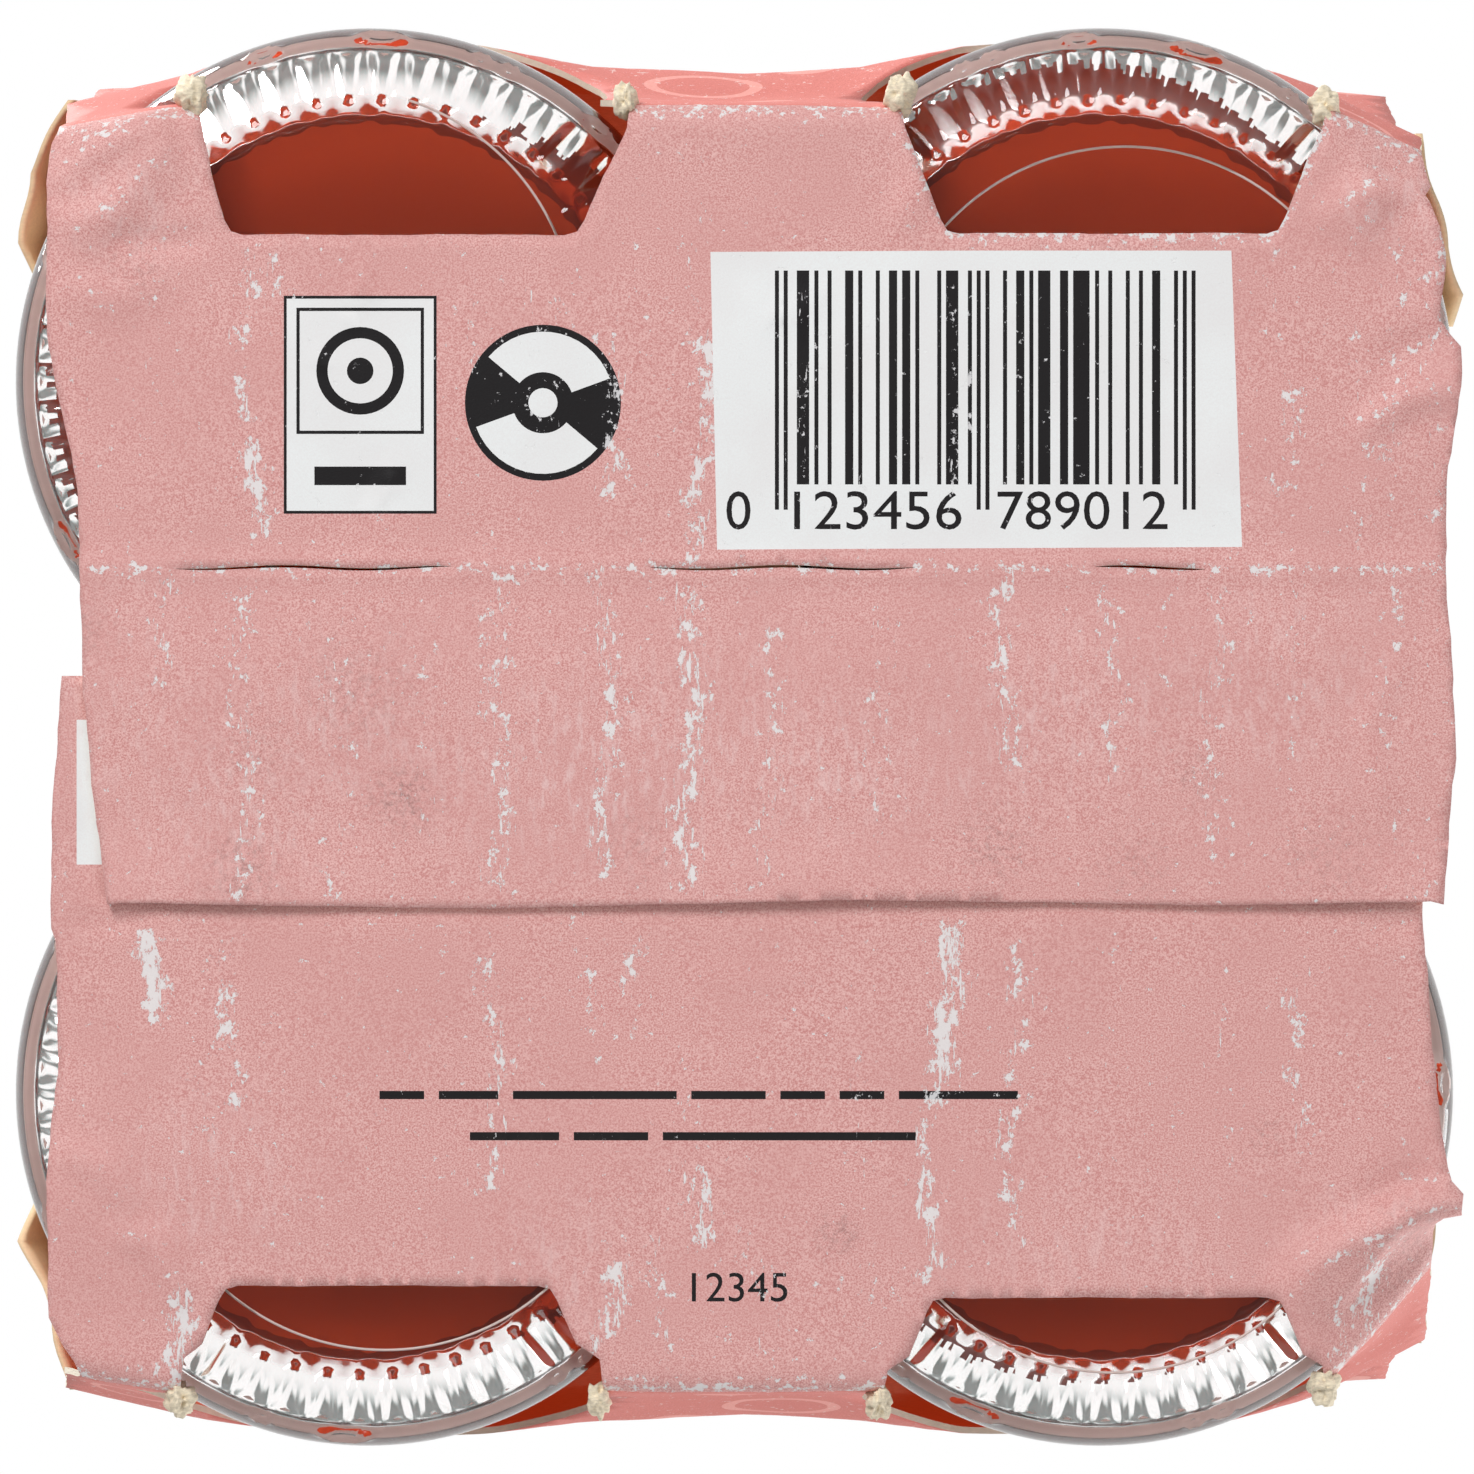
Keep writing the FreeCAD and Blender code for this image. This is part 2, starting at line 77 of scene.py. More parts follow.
# ---- sizes
def span(node):
    """A CAD node's lowest and highest corners in millimetres."""
    low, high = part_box(node)
    return np.array(low) / MM, np.array(high) / MM


PLACES = ("front_left", "front_right", "back_left", "back_right")
CENTRES = {}
for place in PLACES:
    low, high = span(f"bottle_{place}")
    CENTRES[place] = (low + high) / 2
FLOOR = span("bottle_front_left")[0][2]              # the bottles' feet; their heights start here
LEVEL = span("drink_front_left")[1][2] - FLOOR
WALL, TOP = span("carton")[1][1:]
BOARD = 0.5
BODY = 26.8
GLASS_WALL = 2.4


# ---- mesh helpers
def smooth_step(low, high, value):
    t = np.clip((value - low) / (high - low), 0, 1)
    return t * t * (3 - 2 * t)


def bell(value, width):
    """A soft bump, 1 at 0 and about 0.37 a width away."""
    return np.exp(-(value / width) ** 2)


def full_turn(count):
    return np.linspace(0, TAU, count, endpoint=False)


def circle(x, y, radius, turns):
    return np.column_stack([x + radius * np.cos(turns), y + radius * np.sin(turns)])


def swung(radius, height, turns):
    """Rows of points at a radius and a height, each row at every turn."""
    return np.stack(np.broadcast_arrays(radius * np.cos(turns), radius * np.sin(turns), height),
                    axis=2)


def stations(value, table):
    """A value read from a short table of (place, value) rows."""
    return np.interp(value, [row[0] for row in table], [row[1] for row in table])


def add_object(name, data):
    thing = bpy.data.objects.new(name, data)
    bpy.context.scene.collection.objects.link(thing)
    return thing


def add_mesh(name, points, faces, materials):
    """A mesh object from points in metres."""
    mesh = bpy.data.meshes.new(name)
    mesh.from_pydata(points.tolist(), [], [list(map(int, face)) for face in faces])
    for material in materials:
        mesh.materials.append(material)
    return add_object(name, mesh)


def make_piece(name, points, faces, materials, slots=None, node=None,
               crisp_from=None):
    """A piece from points in millimetres on the pack's one body; it may replace a CAD node.

    All faces are smooth, or only those before crisp_from.
    """
    piece = add_mesh(name, np.asarray(points) * MM, faces, materials)
    polygons = piece.data.polygons
    if slots is not None:
        polygons.foreach_set("material_index", np.asarray(slots, dtype=np.int32))
    polygons.foreach_set("use_smooth", np.arange(len(faces)) < (crisp_from or len(faces)))
    piece.data.update()
    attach(piece, "root")
    if node:
        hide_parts(node)
    return piece


def stand(points, place, degrees=0.0):
    """A bottle's own points, turned on its axis and stood in its place."""
    c, s = math.cos(math.radians(degrees)), math.sin(math.radians(degrees))
    turned = np.asarray(points) @ np.array([[c, s, 0], [-s, c, 0], [0, 0, 1]])
    return turned + CENTRES[place] * (1, 1, 0) + (0, 0, FLOOR)


def grid_faces(rows, columns, closed=True):
    """Quads between rows of points; closed joins each row's last point to its first."""
    across = columns if closed else columns - 1
    faces = []
    for a in (row * columns for row in range(rows - 1)):
        for column in range(across):
            b = a + (column + 1) % columns
            faces.append((a + column, b, b + columns, a + column + columns))
    return faces


def turned_faces(rows, columns):
    """Rings of quads with a fan at each end, round the two points that follow the rings."""
    faces = grid_faces(rows, columns)
    first, end = rows * columns, (rows - 1) * columns
    for column in range(columns):
        after = (column + 1) % columns
        faces += [(first, after, column), (first + 1, end + column, end + after)]
    return faces


def sheet_faces(tall, width):
    """A thin sheet of two grids: its front, its back and the edge round both."""
    count = tall * width
    front = grid_faces(tall, width, closed=False)
    loop = (list(range(width)) + [row * width + width - 1 for row in range(1, tall)]
            + [count - width + column for column in range(width - 2, -1, -1)]
            + [row * width for row in range(tall - 2, 0, -1)])
    return (front + [tuple(v + count for v in f[::-1]) for f in front]
            + [(b, a, a + count, b + count) for a, b in zip(loop, loop[1:] + loop[:1])])


def flipped(faces):
    return [face[::-1] for face in faces]


def face_front(points, faces, out):
    """The faces, turned over together if the first one looks away from out."""
    a, b, c = (points[corner] for corner in faces[0][:3])
    return flipped(faces) if np.cross(b - a, c - a) @ out < 0 else faces


def add_field(piece, name, values):
    """A number at each point, read by a material's Attribute node."""
    layer = piece.data.attributes.new(name, "FLOAT", "POINT")
    layer.data.foreach_set("value", np.asarray(values, dtype=np.float32))


# ---- material helpers
class Nodes:
    """A node tree, with short names for the steps that build it."""

    def __init__(self, tree):
        self.tree = tree

    def add(self, kind, **settings):
        node = self.tree.nodes.new(kind)
        for key, value in settings.items():
            setattr(node, key, value)
        return node

    def fill(self, node, **values):
        for name, value in values.items():
            self.feed(node.inputs[name.replace("_", " ")], value)
        return node

    def feed(self, socket, value):
        if isinstance(value, bpy.types.NodeSocket):
            self.tree.links.new(value, socket)
        else:
            socket.default_value = value

    def axis(self, vector, name):
        parts = self.add("ShaderNodeSeparateXYZ")
        self.feed(parts.inputs[0], vector)
        return parts.outputs[name]

    def scaled(self, vector, factors):
        node = self.add("ShaderNodeVectorMath", operation="MULTIPLY")
        self.feed(node.inputs[0], vector)
        self.feed(node.inputs[1], factors)
        return node.outputs[0]

    def math(self, operation, a, b=0.0):
        node = self.add("ShaderNodeMath", operation=operation)
        self.feed(node.inputs[0], a)
        self.feed(node.inputs[1], b)
        return node.outputs[0]

    def times(self, a, b):
        return self.math("MULTIPLY", a, b)

    def noise(self, vector, scale, detail, rough):
        return self.fill(self.add("ShaderNodeTexNoise"), Vector=vector, Scale=scale,
                         Detail=detail, Roughness=rough).outputs["Fac"]

    def between(self, value, low, high, start=0.0, stop=1.0):
        """From start at low to stop at high, and smooth between; low may be the larger."""
        node = self.add("ShaderNodeMapRange", interpolation_type="SMOOTHSTEP")
        return self.fill(node, Value=value, From_Min=low, From_Max=high,
                         To_Min=start, To_Max=stop).outputs["Result"]

    def mix(self, share, a, b):
        node = self.add("ShaderNodeMix", data_type="RGBA")
        return self.fill(node, Factor=share, A=a, B=b).outputs["Result"]


class Look(Nodes):
    """A surface material round one Principled shader."""

    def __init__(self, name, **surface):
        self.material = bpy.data.materials.new(name)
        self.material.use_nodes = True
        super().__init__(self.material.node_tree)
        self.tree.nodes.clear()
        self.out = self.add("ShaderNodeOutputMaterial")
        self.shader = self.add("ShaderNodeBsdfPrincipled")
        self.feed(self.out.inputs["Surface"], self.shader.outputs[0])
        self.set(**surface)

    def set(self, **values):
        self.fill(self.shader, **values)

    def place(self):
        """Object coordinates in millimetres."""
        return self.scaled(self.add("ShaderNodeTexCoord").outputs["Object"], [1 / MM] * 3)

    def field(self, name):
        return self.add("ShaderNodeAttribute", attribute_name=name).outputs["Fac"]

    def bump(self, height, depth, distance):
        """Relief on the surface, added to any that is there already."""
        node = self.fill(self.add("ShaderNodeBump"), Strength=depth, Distance=distance,
                         Height=height)
        before = self.shader.inputs["Normal"]
        if before.is_linked:
            self.feed(node.inputs["Normal"], before.links[0].from_socket)
        self.feed(before, node.outputs[0])


def tone(red, green, blue):
    """A display colour, 0 to 255, as the linear colour that a shader takes."""
    def linear(value):
        value /= 255
        return value / 12.92 if value <= 0.04045 else ((value + 0.055) / 1.055) ** 2.4
    return (linear(red), linear(green), linear(blue), 1)


# ---- glass bottle
FOOT_OUT = BODY - 5.4                # outer edge of the foot ring
FOOT_IN = FOOT_OUT - 1.8
BAFFLE = FOOT_IN - 1.3               # where the pushed-up base meets the foot ring
PUSH_UP = 1.5                        # the height of the base's middle
HEEL_ROUND, HEEL_TALL = 7.91, 7.5    # the outer heel's radius and height
SHOULDER, SWEEP, NECK = 24.0, 30.0, 14.0
BODY_TOP = 94.0
NECK_FOOT = BODY_TOP + math.sqrt((SHOULDER + SWEEP) ** 2 - (BODY - NECK - SHOULDER - SWEEP) ** 2)
CAVITY_FOOT, CAVITY_LEAN = 6.0, math.radians(27)
CAVITY_CORNER = 20.1                 # the radius where the leaning inside meets its flat foot
SILVER_TOP, BAND_TOP = 11.7, 15.2    # the drink looks silver, then pale, up to these heights (painted reflection, by copies of it),
IN_HEEL = 19.0                       # seen through the thick heel outside this radius
DRINK_AROUND = 216
LINE_RADIUS = 18.3                   # the fine raised line on the base
LINE_AROUND = 160
KNURLS = 54
KNURL_DEEP = 0.42
AROUND = KNURLS * 8


def arc_points(centre, radius, start, stop, count):
    """Points on a circle in the (radius, height) plane; 0 degrees points outwards, 90 up."""
    return circle(*centre, radius, np.radians(np.linspace(start, stop, count)))


def shoulder_points(inset, count):
    """The shoulder from the neck's foot down to the body, moved in by inset."""
    lean = math.degrees(math.acos((SHOULDER + SWEEP - BODY + NECK) / (SHOULDER + SWEEP)))
    sweep = arc_points((NECK + SWEEP, NECK_FOOT), SWEEP + inset, 180, 180 + lean, count)
    round_part = arc_points((BODY - SHOULDER, BODY_TOP), SHOULDER - inset, lean, 0, count)
    return np.vstack([sweep, round_part[1:]])


def glass_outside():
    """The outside from the middle of the base up to the lip, as (radius, height)."""
    heel_turn = math.degrees(math.asin((FOOT_OUT - BODY + HEEL_ROUND) / HEEL_ROUND)) - 90
    crown = np.linspace(0, 1, 8)[:, None]
    base = np.column_stack([crown * BAFFLE, PUSH_UP - 1.36 * crown ** 2])
    return np.vstack([
        base,
        np.linspace((BAFFLE, 0.14), (FOOT_IN, 0), 6)[1:],
        np.linspace((FOOT_IN, 0), (FOOT_OUT, 0), 8)[1:],
        arc_points((BODY - HEEL_ROUND, HEEL_TALL), HEEL_ROUND, heel_turn, 0, 40)[1:],
        np.linspace((BODY, HEEL_TALL), (BODY, BODY_TOP), 5)[1:],
        shoulder_points(0, 11)[::-1][1:],
        np.linspace((NECK, NECK_FOOT), (13.1, 143), 6)[1:],
        [(13.7, 143.4), (14.1, 144.2), (14.2, 145), (14.2, 147), (14.1, 147.8), (13.5, 148.6),
         (12.8, 149.1), (12.5, 149.8), (12.5, 154.6), (12.8, 155.3), (13, 156)],
        arc_points((11.6, 159.9), 1.4, 0, 90, 7),
        arc_points((10.1, 160), 1.5, 90, 180, 6)[1:],
    ])


def cavity(inset):
    """The inside of the glass from its mouth down to the middle of its base."""
    wall = BODY - GLASS_WALL - inset
    corner = CAVITY_CORNER - inset
    rise = (wall - corner) / math.tan(CAVITY_LEAN)
    return np.vstack([
        [(8.6 - inset, 159), (8.3 - inset, 148)],
        shoulder_points(GLASS_WALL + inset, 9),
        np.linspace((wall, BODY_TOP), (wall, CAVITY_FOOT + rise + 5), 4)[1:],
        [(wall - 0.15, CAVITY_FOOT + rise + 2.5), (wall - 0.6, CAVITY_FOOT + rise)],
        np.linspace((wall - 0.6, CAVITY_FOOT + rise), (corner + 0.2, CAVITY_FOOT + 1.4), 24)[1:],
        arc_points((corner - 0.7, CAVITY_FOOT + 1.0), 0.9, 0, -90, 7),
        np.linspace((corner - 0.7, CAVITY_FOOT + 0.1), (0, CAVITY_FOOT), 5)[1:],
    ])


def turned_points(profile, turns):
    """Every profile point at every turn, row by row."""
    return swung(profile[:, :1], profile[:, 1:2], turns)


def knurl_relief(profile, turns):
    """How far the glass is sunk between the raised drops on the foot and heel."""
    step = np.hypot(*np.diff(profile, axis=0).T)
    along = np.concatenate([[0], np.cumsum(step)])
    start = along[np.argmin(np.hypot(profile[:, 0] - FOOT_IN, profile[:, 1]))]
    t = (along - start)[:, None]
    pitch = TAU / KNURLS
    across = ((turns / pitch + 0.5) % 1 - 0.5) * pitch * profile[:, 0][:, None]
    past = np.maximum(np.abs(t - 3.7) - 1.7, 0) * 0.6
    width = 0.92 - 0.06 * t
    drop = 1 - smooth_step(width - 0.5, width + 0.42, np.hypot(past, across))
    window = smooth_step(0.9, 2.0, t) * (1 - smooth_step(6.7, 8.2, t))
    turn = turns[None, :]
    rough = (0.5 + 0.28 * np.sin(54 * turn + 0.7) + 0.25 * np.sin(31 * turn + 1.3)
             + 0.2 * np.sin(83 * turn + 2.9))
    border = 0.22 * rough * bell(t - 0.1, 0.75)
    return KNURL_DEEP * (1 - drop) * window + border


# (turn, half length, half height, height) of the ovals moulded round the heel
DOTS = [(turn, 0.7, 0.6, 5) for turn in (0.75, 0.84, 1.75, 4, 4.09, 5, 5.09)]
MARKS = DOTS + [(0.3, 1.5, 0.7, 5.2), (1.5, 1.9, 0.8, 5.3), (2.1, 1, 0.7, 5),
                (2.6, 1.5, 0.7, 5.2), (3.5, 1.6, 0.7, 5.2), (4.35, 1.3, 0.7, 5.1),
                (4.7, 1.9, 0.8, 5.3), (5.4, 1.3, 0.7, 5.1), (5.8, 1.5, 0.7, 5.2)]


def mould_marks(profile, turns):
    """Small raised ovals round the heel wall and the seam line above the drops."""
    height = profile[:, 1][:, None]
    low_wall = (profile[:, 0][:, None] > BODY - 2.2) & (height < 20)
    marks = np.zeros((len(profile), len(turns)))
    for turn, long, tall, up in MARKS:
        gap = ((turns - turn + math.pi) % TAU - math.pi) * BODY / long
        oval = np.hypot(gap, (height - up + 1.3) / tall)
        marks = np.maximum(marks, bell(oval - 0.85, 0.28))
    seam = bell(height - 2.6, 0.35)
    return np.where(low_wall, 0.30 * marks + 0.14 * seam, 0)


def normals_of(profile):
    """Outward normals of a profile in the (radius, height) plane."""
    run = np.gradient(profile, axis=0)
    out = np.column_stack([run[:, 1], -run[:, 0]])
    return out / np.maximum(np.linalg.norm(out, axis=1), 1e-9)[:, None]


def make_bottle(place, turn, material):
    turns = full_turn(AROUND)
    outside = glass_outside()
    sink = knurl_relief(outside, turns) - mould_marks(outside, turns)
    out = normals_of(outside)
    radius, height = (outside[:, k][:, None] - sink * out[:, k][:, None] for k in (0, 1))
    outer = swung(radius, height, turns)
    inner = turned_points(cavity(0), turns)
    points = np.vstack([*outer[1:], *inner[:-1], outer[0][:1], inner[-1][:1]])
    faces = turned_faces(len(outer) + len(inner) - 2, AROUND)
    make_piece(f"bottle_glass_{place}", stand(points, place, turn), faces, [material],
               node=f"bottle_{place}")


# the foot of the mirroring part of the heel, by the bearing from the open side; below it the drink
# takes a darker copy, painted shade from the board
SILVER_LOW = {
    "front_left": ((-60, 10.2), (-46, 9.4), (-36, 7.5), (24, 7.5), (36, 8.8), (52, 10.6)),
    "front_right": ((-60, 11.2), (-50, 11.1), (-25, 10.6), (0, 10.1), (22, 9.3), (36, 8.6),
                    (52, 10)),
    "back_left": ((-60, 9.4), (-46, 8.2), (-34, 7.5), (34, 7.5), (50, 9.2)),
    "back_right": ((-60, 10), (-44, 8.8), (-10, 8.3), (20, 7.6), (40, 8), (52, 10.2)),
}


def make_drink(place, looks):
    """The drink, a little into the glass so that no gap shows, with a rounded edge at its top."""
    turns = full_turn(DRINK_AROUND)
    wall = cavity(-0.1)
    below = wall[wall[:, 1] < LEVEL - 1]
    rim = NECK - GLASS_WALL + 0.1 - (LEVEL - NECK_FOOT) * 0.16
    profile = np.vstack([
        [(0, LEVEL - 0.9), (rim - 3, LEVEL - 0.85), (rim - 1, LEVEL - 0.5), (rim, LEVEL)],
        below,
    ])
    rows = turned_points(profile[1:-1], turns)
    points = np.vstack([*rows, (0, 0, profile[0][1]), (0, 0, profile[-1][1])])
    faces = turned_faces(len(rows), len(turns))
    middle = np.array([points[list(face)].mean(axis=0) for face in faces])
    # where the thick heel mirrors: all but the places where the board shades it
    away = 1 if CENTRES[place][1] > 0 else -1
    bearing = np.degrees(np.arctan2(middle[:, 0], middle[:, 1] * away))
    low = stations(bearing, SILVER_LOW[place]) + 0.35 * np.sin(np.radians(bearing) * KNURLS)
    outer = (np.hypot(middle[:, 0], middle[:, 1]) > IN_HEEL) & (middle[:, 2] < BAND_TOP)
    mirror = (middle[:, 2] < SILVER_TOP) & (middle[:, 2] > low)
    # painted reflection and shade: slot 1 is a mirroring copy of the drink, slot 2 a pale copy
    # above it, slot 3 a darker copy below the mirror
    in_heel = np.where(outer, np.where(mirror, 1, np.where(middle[:, 2] >= SILVER_TOP, 2, 3)), 0)
    make_piece(f"drink_fill_{place}", stand(points, place), flipped(faces), looks, in_heel,
               f"drink_{place}")


def make_mould_line(place, shift, material):
    """The fine raised line on the base, a little off the bottle's own centre."""
    turns = full_turn(LINE_AROUND)
    out = circle(0, 0, 1, turns)
    line = LINE_RADIUS * out + shift
    far = np.hypot(*line.T)
    keep = far < FOOT_OUT - 0.1
    closed = bool(keep.all())
    start = 0 if closed else int(np.nonzero(keep & ~np.roll(keep, 1))[0][0])
    order = [k for k in np.roll(np.arange(LINE_AROUND), -start) if keep[k]]
    height = PUSH_UP - PUSH_UP * np.clip(far / FOOT_IN, 0, 1) ** 2
    corners = [np.column_stack([line + out * 0.11 * math.cos(turn),
                                height + 0.02 + 0.13 * math.sin(turn)])
               for turn in np.radians((90, 210, 330))]
    points = np.stack(corners, axis=1)[order].reshape(-1, 3)
    last = len(order) if closed else len(order) - 1
    faces = []
    for here, there in ((3 * k, 3 * ((k + 1) % len(order))) for k in range(last)):
        for side, after in ((0, 1), (1, 2), (2, 0)):
            faces.append((here + side, here + after, there + after, there + side))
    if not closed:
        faces += [(0, 2, 1), (3 * last, 3 * last + 1, 3 * last + 2)]
    make_piece(f"mould_line_{place}", stand(points, place), faces, [material])


def drink_look(name, ior, colour):
    return Look(name, Base_Color=tone(*colour), Roughness=0.04, IOR=ior).material


# ---- caps and labels
FLUTES = 21
LABEL_REACH = 68                      # degrees each way from the label's middle


def make_cap(place, turn, material):
    """A crown cap: a domed top, a rounded shoulder and a fluted skirt."""
    columns = FLUTES * 10
    turns = full_turn(columns)
    low = span(f"cap_{place}")[0][2] - FLOOR
    profile = np.array([                 # (radius, height, depth of the flutes)
        (1.5, 6.2, 0), (5, 6.18, 0), (9, 6.1, 0), (10.8, 5.98, 0), (11.6, 5.75, 0),
        (12.2, 5.35, 0.02), (12.6, 4.8, 0.08), (12.95, 4.0, 0.2), (13.2, 3.1, 0.34),
        (13.45, 2.1, 0.42), (13.7, 1.1, 0.46), (13.95, 0.4, 0.46), (14.0, 0.02, 0.44),
        (13.82, 0.0, 0.42), (13.5, 0.35, 0.42), (13.25, 1.1, 0.4), (13.05, 2.1, 0.34),
        (12.85, 3.2, 0.2), (12.5, 4.4, 0.06), (11.8, 5.2, 0), (10.5, 5.5, 0), (6, 5.58, 0),
        (1.5, 5.6, 0)])
    radius = profile[:, 0][:, None] + profile[:, 2][:, None] * np.cos(FLUTES * turns)
    rows = swung(radius, profile[:, 1:2] + low, turns)
    points = np.vstack([*rows, (0, 0, low + 6.2), (0, 0, low + 5.6)])
    make_piece(f"crown_cap_{place}", stand(points, place, turn),
               flipped(turned_faces(len(profile), columns)), [material],
               node=f"cap_{place}")


def make_label(place, turn, material):
    """A paper label part of the way round the body, with its two directions as fields."""
    low, high = span(f"label_{place}")
    facing = 180 if CENTRES[place][0] < 0 else 0
    angle = np.radians(np.linspace(-LABEL_REACH, LABEL_REACH, 61))
    height = np.linspace(low[2], high[2], 16)
    at = angle + math.radians(facing + turn)
    sheets = [swung(radius, height[:, None], at) for radius in (BODY + 0.17, BODY + 0.03)]
    points = np.vstack(sheets).reshape(-1, 3) + CENTRES[place] * (1, 1, 0)
    width, tall = len(angle), len(height)
    label = make_piece(f"paper_label_{place}", points, sheet_faces(tall, width), [material],
                       node=f"label_{place}")
    add_field(label, "across", np.tile(angle * BODY, 2 * tall))
    add_field(label, "up", np.tile(np.repeat(height - (low[2] + high[2]) / 2, width), 2))


def label_look():
    """Cream paper with coral bands, a ring and round drops, all of them plain shapes."""
    look = Look("label_paper", Roughness=0.6)
    across, up = look.field("across"), look.field("up")
    grain = look.noise(look.place(), 6.0, 1.0, 0.6)
    paper = look.mix(look.between(grain, 0.3, 0.7), tone(240, 232, 216), tone(247, 240, 226))
    coral, soft, cream = tone(214, 96, 86), tone(240, 176, 164), tone(247, 240, 226)

    def disc(radius, x, y):
        squares = [look.math("POWER", look.math("SUBTRACT", way, at), 2.0)
                   for way, at in ((across, x), (up, y))]
        far = look.math("SQRT", look.math("ADD", *squares))
        return look.between(far, radius + 0.06, radius - 0.06)

    level = look.math("ABSOLUTE", up)
    paper = look.mix(look.between(level, 21.9, 22.05), paper, coral)
    line = look.times(look.between(level, 20.5, 20.6), look.between(level, 21.1, 21.0))
    paper = look.mix(line, paper, coral)
    for paint, radius, x, y in (
            (coral, 13.5, 0, 2), (cream, 12.9, 0, 2), (soft, 7, 0, 3), (coral, 3.2, -4.5, -3),
            (coral, 2.4, 5, -2), (coral, 2.0, 2.5, 8.5), (soft, 3.0, -21, 8),
            (soft, 4.2, -24, -6), (soft, 3.4, 22, -9), (soft, 4.6, 24, 6),
            (coral, 1.8, -20, -14), (coral, 1.8, 20, 15)):
        paper = look.mix(disc(radius, x, y), paper, paint)
    look.set(Base_Color=paper)
    look.bump(grain, 0.2, 0.00005)
    return look.material


def cap_look():
    look = Look("cap_metal", Metallic=1.0, Roughness=0.32)
    spot = look.place()
    fine = look.noise(look.scaled(spot, (1, 1, 4)), 3.0, 3.0, 0.6)
    look.set(Base_Color=look.mix(look.between(fine, 0.35, 0.65),
                                 tone(196, 194, 190), tone(222, 221, 218)))
    look.bump(fine, 0.15, 0.00005)
    return look.material


# ---- the wrap's section
FLAP, LAP = 12.6, -4.6                # where the two base panels end, in Y
FRONT_FOLD, BACK_FOLD = 47.15, 48.9
CREASE = -12.7                        # the score across the front panel
PANEL_UP = 0.75                       # the base panels' middle, just above the flap's
LOW_FOLD, HIGH_FOLD = 31, 97.2        # the walls are upright between these heights
RIDGE = 41.95                         # the top panel's half depth
FINGER_HOLES, FINGER_RADIUS = (-19, 19), 11
WALL_ROUND, WALL_ROUND_UP = 18, 15.5  # the round top of a heel opening on its wall
HALF = BOARD / 2
PATH = np.array([(FLAP, HALF), (-5.2, HALF), (CREASE, PANEL_UP), (-FRONT_FOLD, PANEL_UP),
                 (HALF - WALL, LOW_FOLD), (HALF - WALL, HIGH_FOLD), (-RIDGE, TOP - HALF),
                 (RIDGE, TOP - HALF), (WALL - HALF, HIGH_FOLD), (WALL - HALF, LOW_FOLD),
                 (BACK_FOLD, PANEL_UP), (LAP, PANEL_UP)])
RUN = np.concatenate([[0], np.cumsum(np.hypot(*np.diff(PATH, axis=0).T))])
END_RUN = RUN[-1]


def section(run, spread=2.4):
    """Points (Y, Z) of the middle of the board at a run, every fold rounded."""
    first, last = PATH[0] - PATH[1], PATH[-1] - PATH[-2]
    more = 5                             # the path runs on past both of its ends
    path = np.vstack([PATH[0] + first / np.linalg.norm(first) * more, PATH,
                      PATH[-1] + last / np.linalg.norm(last) * more])
    at = np.concatenate([[-more], RUN, [END_RUN + more]])
    total = np.zeros((len(run), 2))
    for shift in np.linspace(-spread / 2, spread / 2, 9):
        total += np.column_stack([np.interp(run + shift, at, path[:, axis]) for axis in (0, 1)])
    return total / 9


def section_out(run):
    """Outward normals (Y, Z) of the section."""
    step = section(run + 0.05) - section(run - 0.05)
    out = np.column_stack([-step[:, 1], step[:, 0]])
    return out / np.linalg.norm(out, axis=1)[:, None]


def on_front(y):
    return RUN[3] - (y + FRONT_FOLD)


def on_back(y):
    return RUN[10] + (BACK_FOLD - y)


def up_front(z):
    return np.interp(z, PATH[3:7, 1], RUN[3:7])


def up_back(z):
    return RUN[10] - np.interp(z, PATH[10:6:-1, 1], RUN[10] - RUN[10:6:-1])


def on_top(y):
    return RUN[6] + y + RIDGE


# ---- flat outlines
def wobble(value, size, seed):
    """A steady, seeded unevenness of about +-size for cut and torn edges."""
    total = 0
    for k, pace in enumerate((0.35, 0.83, 1.9, 3.7)):
        total = total + np.sin(value * pace + seed * 1.7 + k * 2.1) / (k + 1.3)
    return size * total * 0.55


def dense(loop, step=0.8, closed=True):
    """The loop with points added so that none are further apart than step."""
    loop = np.asarray(loop, float)
    ends = np.roll(loop, -1, axis=0) if closed else loop[1:]
    pieces = []
    for a, b in zip(loop, ends):
        count = max(1, int(math.ceil(np.linalg.norm(b - a) / step)))
        pieces.append(a + (b - a) * np.linspace(0, 1, count, endpoint=False)[:, None])
    if not closed:
        pieces.append(loop[-1:])
    return np.vstack(pieces)


def ring(x, run, radius, count=48):
    return circle(x, run, radius, full_turn(count))


def box(x0, x1, run0, run1):
    return np.array([(x0, run0), (x1, run0), (x1, run1), (x0, run1)], float)


